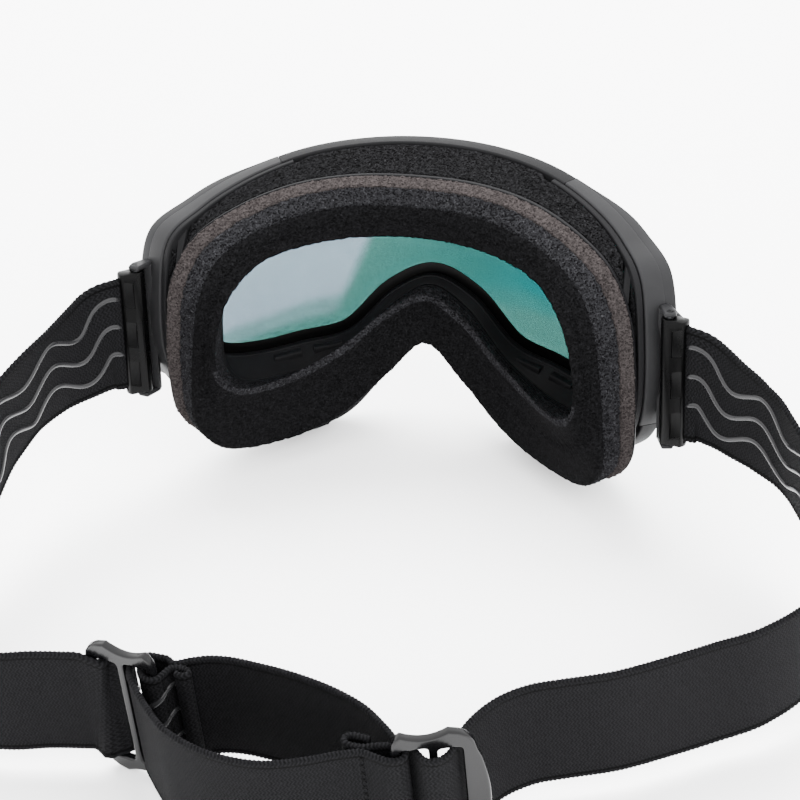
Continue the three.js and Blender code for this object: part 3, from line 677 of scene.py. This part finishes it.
# ---- outriggers ----
def extruded(outline_xy, height, bevel=0.5, lift=0.0):
    """An upright prism with rounded long edges, from a plan outline."""
    flat = np.array([(x, y, 0) for x, y in outline_xy], float)
    area = sum(a[0] * b[1] - a[1] * b[0] for a, b in zip(flat, np.roll(flat, -1, 0)))
    if area < 0:
        flat = flat[::-1]
    around = rounded([p[None] for p in flat], bevel, 4)[0]
    middle = around.mean(0)
    levels = []
    for z, shrink in ((-0.5, bevel), (-0.5, bevel * 0.4), (-0.5, 0), (0.5, 0), (0.5, bevel * 0.4),
                      (0.5, bevel)):
        pulled = around + unit(middle - around) * shrink
        step = bevel - math.sqrt(max(0.0, bevel ** 2 - shrink ** 2)) if shrink < bevel else 0.0
        drop = bevel - step if shrink == 0 else (0.35 * bevel if shrink < bevel else 0.0)
        pulled[:, 2] = z * height - math.copysign(drop, z) + lift
        levels.append(pulled)
    return skin(np.stack(levels), False)


BAR_LENGTH = CLIP["height"] + 2 * (HINGE["lug"] + GAP)


def outrigger(side):
    a, b = OUTRIGGER["from"], OUTRIGGER["to"]
    start, end = (a, b) if side > 0 else (mirror(b), mirror(a))
    arm = swept(bow_corners(rim, (0, outrigger_band), (outrigger_inner, BOW_RADIUS)),
                start, end, 24, 0.8)
    heel = bow(rim(np.array([6.4 if side > 0 else mirror(6.4)])), BOW_RADIUS)[0]
    x, y = abs(heel[0]), heel[1]
    lip = swept(bow_corners(rim, (0, 1.7), (BOW_RADIUS - 0.8, lambda i: between(
        i, OUTRIGGER["from"], 3.7, 98.1, 101.2))), start, end, 24, 0.7)
    plates = []
    for across, tall in ((-3.0, 21.6), (2.0, 21.2), (4.6, 18.6), (6.6, 16.0), (8.0, 13.0),
                         (8.6, 10.5)):
        plates.append([(side * (x + across), y + v, w * tall)
                       for v, w in ((-0.9, -1), (0.75, -1), (0.75, 1), (-0.9, 1))])
    cheek_plate = skin(rounded(list(np.array(plates).transpose(1, 0, 2)), 0.6, 4), False)
    hx, hy = HINGE["x"], HINGE["y"]
    lugs = [extruded([(side * (x - 3), y - 0.6), (side * (x - 0.6), y - 2.2),
                      (side * (hx + 1.9), hy - 1.5), (side * (hx + 1.9), hy + 1.4),
                      (side * (hx - 1.5), hy + 2.2)], HINGE["lug"], 0.6,
                     lift=end_sign * (CLIP["height"] / 2 + GAP + HINGE["lug"] / 2))
            for end_sign in (1, -1)]
    return shells([arm, lip, cheek_plate, *lugs])


def cylinder(radius, height, place, segments=32, bevel=0.25):
    angles = np.linspace(0, 2 * math.pi, segments, endpoint=False)
    rows = []
    for z, r in ((-0.5 * height, radius - bevel), (-0.5 * height + bevel, radius),
                 (0.5 * height - bevel, radius), (0.5 * height, radius - bevel)):
        rows.append(np.stack([r * np.cos(angles), r * np.sin(angles), np.full(segments, z)], 1))
    verts, faces = skin(np.stack(rows), False)
    return verts + np.array(place), faces


for hand, side in (("left", 1), ("right", -1)):
    stand_for(make(f"outrigger_{hand}_arm", *outrigger(side), GOGGLE, RIM_PLASTIC), "frame",
              "outrigger_plastic", f"outrigger_{hand}")
    bar = cylinder(HINGE["bar"], BAR_LENGTH, (side * HINGE["x"], HINGE["y"], 0))
    stand_for(make(f"strap_bar_{hand}_wire", *bar, GOGGLE, STEEL), "frame", "bar_steel",
              f"strap_bar_{hand}")


# ---- strap clips ----
def boolean(obj, cutter, operation="DIFFERENCE"):
    modifier = obj.modifiers.new("cut", "BOOLEAN")
    modifier.operation = operation
    modifier.object = cutter
    modifier.solver = "EXACT"
    bpy.context.view_layer.update()
    evaluated = obj.evaluated_get(bpy.context.evaluated_depsgraph_get())
    mesh = bpy.data.meshes.new_from_object(evaluated)
    obj.modifiers.clear()
    old = obj.data
    obj.data = mesh
    bpy.data.meshes.remove(old)
    bpy.data.objects.remove(cutter)


def block(size, middle, bevel=0.3, skew=0.0):
    """A box with rounded edges; skew leans it along its height."""
    sx, sy, sz = size
    verts, faces = extruded([(-sx / 2, -sy / 2), (sx / 2, -sy / 2), (sx / 2, sy / 2),
                             (-sx / 2, sy / 2)], sz, bevel)
    verts = verts.copy()
    verts[:, 2] += skew * verts[:, 0]
    return verts + np.array(middle), faces


def clip(side, hand):
    """The eye round the bar and the channel for the strap, lying along +X from the bar."""
    height, reach, thick = CLIP["height"], CLIP["reach"], CLIP["thick"]
    angles = np.linspace(0, 2 * math.pi, 40, endpoint=False)
    rows = []
    for z, grow in ((-0.5 * height, -0.5), (-0.5 * height + 0.18, -0.15), (-0.5 * height + 0.6, 0),
                    (0.5 * height - 0.6, 0), (0.5 * height - 0.18, -0.15), (0.5 * height, -0.5)):
        eye, flat = HINGE["eye"] + grow, thick / 2 + grow
        ring = []
        for a in angles:
            c, s = math.cos(a), math.sin(a)
            # a stadium: the eye at the bar, and the channel's squarer end
            x = eye * c if c < 0 else reach + 0.2 + grow * 1.5
            if c >= 0:
                k = abs(c) ** 0.35
                x = (reach + 0.4 + grow) * k
            y = math.copysign(min(eye if c < 0 else flat, abs(s) * (eye if c < 0 else flat * 1.25)), s)
            ring.append((x, y, z))
        rows.append(ring)
    body = make(f"strap_clip_{hand}_body", *skin(np.array(rows), False), Matrix(), CLIP_PLASTIC)
    cuts = [block((7.2, CLIP["slot"], height - 2.4), (reach + 0.5, 0, 0), 0.3)]
    for z in (13.5, 0.0, -13.5):
        for face in (1, -1):
            cuts.append(block((3.4, 1.0, 8.6), (reach - 2.1, face * (thick / 2 + 0.12), z), 0.25,
                              skew=0.35))
    cuts.append(cylinder(HINGE["bore"], 2 * height, (0, 0, 0)))
    boolean(body, make("cutter", *shells(cuts), Matrix(), CLIP_PLASTIC))
    angle = math.radians(CLIP_ANGLE[hand])
    lie = Matrix.Rotation(angle if side > 0 else math.pi - angle, 4, "Z")
    place = GOGGLE @ Matrix.Translation((side * HINGE["x"], HINGE["y"], 0)) @ lie
    body.data.transform(place)
    body.data.shade_smooth()
    body.data.set_sharp_from_angle(angle=math.radians(35))
    return stand_for(body, f"{hand}_clip", "clip_plastic", f"strap_clip_{hand}")


for hand, side in (("left", 1), ("right", -1)):
    clip(side, hand)


# ---- lens ----
def sheet_on_bow(curve, margin, radii, strips=120, rows=24, bevel=0.35):
    """A curved sheet that fills an outline, as upright strips between its two edges."""
    i = stations(steps=24)
    edge = inset(curve, i, margin(i))
    reach = edge[:, 0].max() - 0.05
    columns = []
    for k in range(strips + 1):
        s = reach * math.sin(math.pi * (k / strips - 0.5))
        p, q = edge, np.roll(edge, -1, 0)
        cross = (p[:, 0] - s) * (q[:, 0] - s) <= 0
        cross &= p[:, 0] != q[:, 0]
        z = p[cross, 2] + (q[cross, 2] - p[cross, 2]) * (s - p[cross, 0]) / (q[cross, 0] - p[cross, 0])
        low, high = z.min(), z.max()
        heights = np.linspace(low, high, rows)
        angle = s / BOW_RADIUS
        column = []
        for r, zs in ((radii[0], heights), (radii[1], heights[::-1])):
            for h in zs:
                trim = bevel if h in (low, high) else 0.0
                rr = r + (trim if r == radii[0] else -trim)
                column.append((rr * math.sin(angle), BOW_CENTRE - rr * math.cos(angle), h))
        columns.append(column)
    return skin(np.array(columns), False)


def lens_margin(i):
    return between(i, 4, 5.2, 2.5, 3.2)


outer_lens = make("outer_lens_mirror", *sheet_on_bow(rim, lens_margin, OUTER_LENS), GOGGLE,
                  OUTER_LENS_LOOK, 50)
outer_lens.data.materials.append(MIRROR_LOOK)
to_goggle = GOGGLE.inverted()
for face in outer_lens.data.polygons:
    spot_on = to_goggle @ face.center
    radius = math.hypot(spot_on.x, spot_on.y - BOW_CENTRE)
    face.material_index = int(radius > OUTER_LENS[1] - 0.3)
stand_for(outer_lens, "lens", "outer_lens", "outer_lens")
stand_for(make("inner_lens_clear", *sheet_on_bow(aperture, lambda i: -3 + 0 * i, INNER_LENS, 90),
               GOGGLE, INNER_LENS_LOOK, 50), "lens", "inner_lens", "inner_lens")
border = swept(bow_corners(aperture, (-2.6, 3.4), (94.35, 94.55)), radius=0.06, bend=2, steps=20)
stand_for(make("inner_lens_border", *border, GOGGLE, LENS_BORDER), "lens", "inner_lens")
gasket = swept(bow_corners(aperture, (-3.4, -0.6), GASKET), radius=0.5, steps=20)
stand_for(make("lens_gasket_tape", *gasket, GOGGLE, GASKET_FOAM), "lens", "gasket", "lens_gasket")

MAGNETS = {"top": 1.35, "side": 5.9, "bottom": 9.3}
for spot, index in MAGNETS.items():
    for hand, place in (("left", index), ("right", mirror(index))):
        for body, node, radii in (("frame", "frame_magnet", (94.5, 96.2)),
                                  ("lens", "lens_magnet", (96.5, 98.1))):
            name = f"{node}_{spot}_{hand}"
            bar = swept(bow_corners(rim, (6.8, 9.6), radii), place - 0.28, place + 0.28, 24, 0.35)
            stand_for(make(name + "_bar", *bar, GOGGLE, NICKEL), body, "magnet", name)


# ---- sliders ----
SLIDERS = {"left": ((45, 130.6), (0.98, -0.2)), "right": ((-47.6, 146.4), (-0.94, -0.34))}


def slider_outline():
    """The adjuster's edge in elevation, outwards to the right: two sharp peaks with a dip between."""
    h, top = SLIDER["half"], SLIDER["height"] / 2
    upper = [(-h, top - 5.5), (-h + 0.5, top - 2.6), (-h + 1.6, top - 1.0), (-8.6, top - 0.1)]
    for k in range(9):
        u = k / 8
        upper.append((-8.2 + 12.6 * u, top - 1.9 * math.sin(math.pi * u) ** 0.9 - 0.05))
    upper += [(7.4, top - 0.9), (h - 1.6, top - 2.4), (h - 0.2, top - 4.6), (h + 0.5, top - 8)]
    side = [(h + 0.9 + 2.2 * math.cos(math.pi * z / (2 * (top - 8))), z)
            for z in np.linspace(top - 11, -(top - 11), 13)]
    lower = [(x, -z) for x, z in reversed(upper)]
    return upper + side + lower


def slider(hand):
    """A flat plate with two slots, from one outline with holes, rounded on every edge."""
    centre_xy, out = SLIDERS[hand]
    bevel, bar = 0.75, SLIDER["bar"]
    outer_drop = 0.8  # how much lower the outer slot's top is
    tall = SLIDER["height"] / 2 - SLIDER["rail"]
    loops = [slider_outline()]
    for a, b, top in ((-SLIDER["half"] + bar, -bar / 2, tall),
                      (bar / 2, SLIDER["half"] - SLIDER["leg"], tall - outer_drop)):
        corners = [np.array([[x, z, 0.0]]) for x, z in ((a, -tall), (b, -tall), (b, top), (a, top))]
        loops.append(rounded(corners, 1.5, 6)[0][:, :2])
    flat = bpy.data.curves.new("adjuster", "CURVE")
    flat.dimensions, flat.fill_mode = "2D", "BOTH"
    flat.bevel_depth, flat.bevel_resolution, flat.offset = bevel, 4, -bevel
    flat.extrude = SLIDER["thick"] / 2 - bevel
    for loop in loops:
        line = flat.splines.new("POLY")
        line.points.add(len(loop) - 1)
        for point, (x, y) in zip(line.points, loop):
            point.co = (x, y, 0, 1)
        line.use_cyclic_u = True
    maker = bpy.data.objects.new("adjuster", flat)
    bpy.context.scene.collection.objects.link(maker)
    bpy.context.view_layer.update()
    mesh = bpy.data.meshes.new_from_object(
        maker.evaluated_get(bpy.context.evaluated_depsgraph_get()))
    bpy.data.objects.remove(maker)
    body = bpy.data.objects.new(f"slider_{hand}_plate", mesh)
    bpy.context.scene.collection.objects.link(body)
    along = Vector((out[0], out[1], 0)).normalized()
    rise = Vector((0, 0, 1))
    basis = Matrix((along, rise, along.cross(rise))).transposed().to_4x4()
    mesh.transform(WORLD @ Matrix.Translation((*centre_xy, SLIDER["height"] / 2)) @ basis)
    mesh.materials.clear()
    mesh.materials.append(SLIDER_PLASTIC)
    mesh.shade_smooth()
    mesh.set_sharp_from_angle(angle=math.radians(35))
    return stand_for(body, f"{hand}_adjuster", "slider_plastic", f"slider_{hand}")


for hand in ("left", "right"):
    slider(hand)

# ---- strap: each point [x, y, height, roll] ----
BACK = 25.0


def from_bar(side, angle, distance):
    a = math.radians(angle)
    x = side * (HINGE["x"] + distance * math.cos(a))
    y = HINGE["y"] + distance * math.sin(a)
    roll = side * math.atan(math.tan(TIP) * math.cos(a))
    return (x, y * math.cos(TIP), BODY_HEIGHT + y * math.sin(TIP), math.degrees(roll))


def level(points):
    return [(*p, BACK, 0.0) if len(p) == 2 else tuple(p) for p in points]


ROUTES = {
    "left_side": [
        from_bar(1, 41, 3.2), from_bar(1, 41, 6.4), (92.9, 6, 56.6, 6.5), (97.8, 12.2, 55.9, -1),
        (103.4, 21.4, 55, -9), (108.9, 34.1, 53.6, -11), (113, 45.4, 49.9, -8.8),
        (116, 61.1, 43.4, -6.5), (119.2, 79, 36.9, -3.9), (119.8, 97.3, 31.4, -2),
        (117.6, 114.4, 27.3, -1), (110.6, 127.4), (98.2, 134), (84.5, 134.6, 25.3, 0),
        (71.5, 132.3, 26, 0), (62.6, 130.9, 26, 0)],
    "left_tail": [
        (61.9, 130.8, 26, 0), (58.5, 130.4, 25.9, 0), (55.3, 131, 25.6, 0),
        (52.6, 131.3, 25.1, 0), (50.7, 130, 24.8, 0), (49.1, 128.8), (47.1, 127.9), (44.7, 128.1),
        (42.6, 129.2), (42.3, 131.3), (41.9, 133.4), (40.4, 136), (38.4, 138.5), (36.3, 141.1),
        (30.8, 147.2), (25, 152.4), (14, 157.6), (4, 159.6), (-5, 159.4), (-15, 156.4),
        (-21.6, 153.4), (-26, 151.7), (-29.5, 150.8), (-33.5, 151.9), (-37.2, 152.6),
        (-39.9, 151.9), (-41, 149.9), (-39.9, 147.9), (-37.2, 147.2), (-33, 147.8), (-29.3, 149),
        (-26.4, 149), (-24.2, 148.3), (-23.5, 146.8), (-24.7, 145.4), (-27.5, 145.5),
        (-30.2, 145.9)],
    "right_side": [
        from_bar(-1, 17.5, 3.2), from_bar(-1, 17.5, 6.4), (-94.5, 1.9, 55.9, -9),
        (-99.3, 4.4, 55.2, -5), (-106, 8.4, 53.6, 0), (-113.1, 12.4, 51.6, 3.6),
        (-120, 17.4, 49.6, 5.2), (-126.6, 25.4, 47.1, 5.1), (-133.8, 36.9, 42.6, 3.5),
        (-138.5, 50.8, 37.3, 1.3), (-139.3, 64.5, 32.6, -0.9), (-136.4, 77.2, 28.8, -2.1),
        (-126.1, 88.4, 26.5, -1.3), (-113.2, 96), (-101.5, 103.7), (-88.9, 111.2),
        (-75.5, 116.6), (-67.5, 120.1), (-61.2, 125.1)],
    "right_tail": [
        (-60.9, 125.4), (-57.5, 130), (-54.8, 135.5), (-53.4, 140.5), (-52.9, 144.5),
        (-51.8, 148.1), (-49.4, 150.5), (-46.6, 150.7), (-44.2, 148.9), (-41.8, 146.7),
        (-37.6, 145.1), (-33, 140.9), (-26, 135.1), (-18, 131), (-9, 127.9), (0, 125.8),
        (8, 124.6), (16, 123.8), (22, 124.4),
        (26.5, 126), (30.7, 127.8), (33.1, 126.4), (35.6, 126.1), (39.5, 126.3), (39.9, 128.8),
        (39.4, 131.4), (38, 134), (35.5, 135.2), (33.6, 134.7), (32.5, 132.8), (31.7, 131.1),
        (30.8, 129.7), (28.8, 129.3), (26.6, 129.6), (25.4, 130.9), (26.7, 132), (29, 131.6)],
}


class Route:
    """The webbing's middle line, with the directions along, across its thickness and up its width."""

    def __init__(self, points):
        curve = spline(level(points))
        t = np.linspace(0, len(points) - 1, 60 * len(points))
        self.dense = curve(t)
        step = np.linalg.norm(np.diff(self.dense[:, :3], axis=0), axis=1)
        self.along = np.concatenate([[0], np.cumsum(step)])
        self.length = self.along[-1]

    def at(self, distance):
        d = np.atleast_1d(distance)
        p, a, b = (np.stack([np.interp(x, self.along, self.dense[:, k]) for k in range(4)], 1)
                   for x in (d, d - 0.4, d + 0.4))
        tangent = unit(b[:, :3] - a[:, :3])
        flat = unit(np.cross(tangent, (0.0, 0.0, 1.0)))
        rise = np.cross(flat, tangent)
        roll = np.radians(p[:, 3])[:, None]
        up = rise * np.cos(roll) + flat * np.sin(roll)
        across = flat * np.cos(roll) - rise * np.sin(roll)
        return p[:, :3], tangent, across, up


def webbing_section():
    """Half the strap's outline, thickness and height: a flat web with a rounded selvage."""
    w, t = STRAP["width"] / 2, STRAP["thick"] / 2
    face = [(t, z) for z in np.linspace(0, w - 2.4, 7)]
    edge = [(t + 0.02, w - 2.0), (t + 0.14, w - 1.5), (t + 0.18, w - 0.9), (t + 0.02, w - 0.35),
            (t * 0.5, w - 0.04), (0.0, w)]
    half = face + edge
    upper = half + [(-a, b) for a, b in half[-2::-1]]
    return upper + [(a, -b) for a, b in upper[-2:0:-1]]


def strap(name, route, start, end, step=0.4):
    section = np.array(webbing_section())
    d = np.linspace(start, end, max(4, int((end - start) / step)))
    p, _, across, up = route.at(d)
    scallop = 1 + 0.1 * np.sin(2 * math.pi * d / 1.25)
    a = section[:, 0][None, :] * np.where(np.abs(section[:, 1]) > 17, scallop[:, None], 1.0)
    b = section[:, 1][None, :] + np.where(np.abs(section[:, 1]) > 18.4,
                                          0.14 * np.sin(2 * math.pi * d / 1.25)[:, None]
                                          * np.sign(section[:, 1]), 0.0)
    rows = p[:, None] + across[:, None] * a[..., None] + up[:, None] * b[..., None]
    uv = np.stack([np.broadcast_to(d[:, None], a.shape), np.broadcast_to(
        section[:, 1][None, :] + 30.0, a.shape)], -1).reshape(-1, 2)
    verts, faces = skin(rows, False)
    return make(name, verts, faces, WORLD, WEBBING, 60, uv)


def spot(route, distance):
    return WORLD @ Vector(route.at(distance)[0][0])


def bead(name, route, start, end, row, outside):
    """A wavy domed line of silicone on the webbing's inner face."""
    d = np.linspace(start, end, max(6, int((end - start) / 0.7)))
    p, tangent, across, up = route.at(d)
    lift = row + SILICONE["swing"] * np.sin(2 * math.pi * d / SILICONE["wave"])
    slope = (SILICONE["swing"] * 2 * math.pi / SILICONE["wave"]
             * np.cos(2 * math.pi * d / SILICONE["wave"]))
    side = unit(up - tangent * slope[:, None])
    near_end = np.minimum(d - SILICONE["start"], route.length - d)
    fade = np.clip(near_end / 1.2, 0.05, 1) ** 0.5
    base = p + up * lift[:, None] + across * outside * (STRAP["thick"] / 2 - 0.05)
    half = SILICONE["wide"] / 2
    rows = []
    for angle in np.linspace(0, math.pi, 9):
        rows.append(base + side * (math.cos(angle) * half * fade)[:, None]
                    + across * outside * (0.5 * math.sin(angle) * fade)[:, None])
    verts, faces = skin(np.stack(rows, 1), False)
    return make(name, verts, faces, WORLD, SILICONE_RUBBER, 60)


# where each tail is sewn, as distances past the adjuster; always on its outer face
STITCHES = {"left": (108.9, 135.4), "right": (117.1, 141.5)}


def stitches(name, route, distance, rows=13):
    """A row of short crossed threads up the webbing that closes a hem."""
    parts = []
    p, tangent, across, up = (v[0] for v in route.at(distance))
    angles = np.linspace(0, 2 * math.pi, 8, endpoint=False)[:, None]
    for k in range(rows):
        for lean in (-1, 1):
            mid = p + up * (k - (rows - 1) / 2) * 2.7 + across * (STRAP["thick"] / 2)
            half = up * 0.85 + tangent * lean * 0.55
            parts.append(skin(np.array([
                mid + half * u + across * (0.16 - 0.14 * u * u)
                + np.cos(angles) * across * size + np.sin(angles) * tangent * size
                for u, size in ((-1, 0.12), (-0.8, 0.2), (0, 0.24), (0.8, 0.2), (1, 0.12))]), False))
    return make(name, *shells(parts), WORLD, THREAD)


HINGE_ZONE = 62.0  # length of webbing from the clip where it would give when a clip turns; the zone's ends are worked out but not used
REAR_STRETCH = 62.0  # length of the last piece before the adjuster
SEWN_FROM = 0.45  # where the sewn piece starts, as a share of the tail
# how far in from its two ends each piece's zone starts and stops, for giving when an adjuster slides;
# the zones are worked out but not used
GIVES = {"rear": (10, 8), "behind": (38, 4), "sewn": (6, 44)}

for hand, inward in (("left", -1), ("right", 1)):
    # one line from the clip to the sewn end; it passes its adjuster where the two lists meet
    route = Route(ROUTES[f"{hand}_side"] + ROUTES[f"{hand}_tail"][1:])
    meet = Route(ROUTES[f"{hand}_side"]).length
    other = "right" if hand == "left" else "left"
    rear, sewn = meet - REAR_STRETCH, meet + (route.length - meet) * SEWN_FROM
    gives = {"rear": (rear, meet), "behind": (meet, sewn), "sewn": (sewn, route.length)}
    gives = {k: (a + GIVES[k][0], b - GIVES[k][1]) for k, (a, b) in gives.items()}
    pieces = [
        ("front", 0.0, rear, f"{hand}_clip", "frame", 6.0, HINGE_ZONE, f"strap_{hand}_side"),
        ("rear", rear, meet, "frame", f"{hand}_adjuster", *gives["rear"], None),
        ("behind", meet, sewn, f"{hand}_adjuster", "frame", *gives["behind"],
         f"strap_{hand}_tail"),
        ("sewn", sewn, route.length, "frame", f"{other}_adjuster", *gives["sewn"], None),
    ]
    for number, distance in enumerate(STITCHES[hand], 1):
        seam_line = stitches(f"stitches_{hand}_{number}", route, meet + distance)
        tuple(spot(route, gives["sewn"][0]))
        tuple(spot(route, gives["sewn"][1]))
        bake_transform(seam_line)
    for part, start, end, body_a, body_b, from_d, to_d, node in pieces:
        zone = {"start": tuple(spot(route, from_d)), "end": tuple(spot(route, to_d))}
        piece = strap(f"strap_{hand}_{part}", route, start, end)
        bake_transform(piece)
        if node:
            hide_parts(node)
        for number, row in enumerate(SILICONE["rows"], 1):
            line = bead(f"silicone_{hand}_{part}_{number}", route,
                        max(start, SILICONE["start"]), end, row, inward)
            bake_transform(line)
            if part == "front":
                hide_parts(f"silicone_{hand}_{number}")

# ---- floor, light and camera ----
floor_mesh = bpy.data.meshes.new("floor")
floor_mesh.from_pydata([(-3, -3, 0), (3, -3, 0), (3, 3, 0), (-3, 3, 0)], [], [(0, 1, 2, 3)])
floor = bpy.data.objects.new("floor", floor_mesh)
bpy.context.scene.collection.objects.link(floor)
white = Nodes("floor_look")
floor_mesh.materials.append(white.surface([0.93, 0.93, 0.935, 1.0], 0.6, Specular_IOR_Level=0.2))

world = bpy.data.worlds.new("studio")
bpy.context.scene.world = world
world.use_nodes = True
world.node_tree.nodes["Background"].inputs["Color"].default_value = (1, 1, 1, 1)
world.node_tree.nodes["Background"].inputs["Strength"].default_value = 0.85 * LIGHT


def area_light(name, location, target, size, power):
    data = bpy.data.lights.new(name, "AREA")
    data.shape = "RECTANGLE"
    data.size, data.size_y = size
    data.energy = power * LIGHT
    lamp = bpy.data.objects.new(name, data)
    bpy.context.scene.collection.objects.link(lamp)
    lamp.location = location
    lamp.rotation_mode = "QUATERNION"
    lamp.rotation_quaternion = (Vector(target) - Vector(location)).to_track_quat("-Z", "Y")
    lamp.visible_glossy = False


area_light("key", (0.15, -0.55, 0.95), (0, 0, 0.03), (0.9, 0.7), 9.0)
area_light("fill", (-0.7, 0.55, 0.7), (0, 0, 0.03), (0.8, 0.8), 4.0)

camera_data = bpy.data.cameras.new("camera")
camera = bpy.data.objects.new("camera", camera_data)
bpy.context.scene.collection.objects.link(camera)
camera_data.lens, camera_data.sensor_width, camera_data.clip_end = 112.5, 36, 10
# degrees: heading is turned from -Y towards +X, down is below level, and roll is about the sight line
heading, down, roll = (math.radians(a) for a in (18.524, 38.251, -6.093))
forward = Vector((math.sin(heading) * math.cos(down), -math.cos(heading) * math.cos(down),
                  -math.sin(down)))
level_right = forward.cross((0, 0, 1)).normalized()
right = level_right * math.cos(roll) + level_right.cross(forward) * math.sin(roll)
sight = Matrix((right, right.cross(forward), -forward)).transposed().to_4x4()
camera.matrix_world = WORLD @ Matrix.Translation((-193.72, 578.86, 519.7)) @ Matrix.Scale(
    1000, 4) @ sight
bpy.context.scene.camera = camera
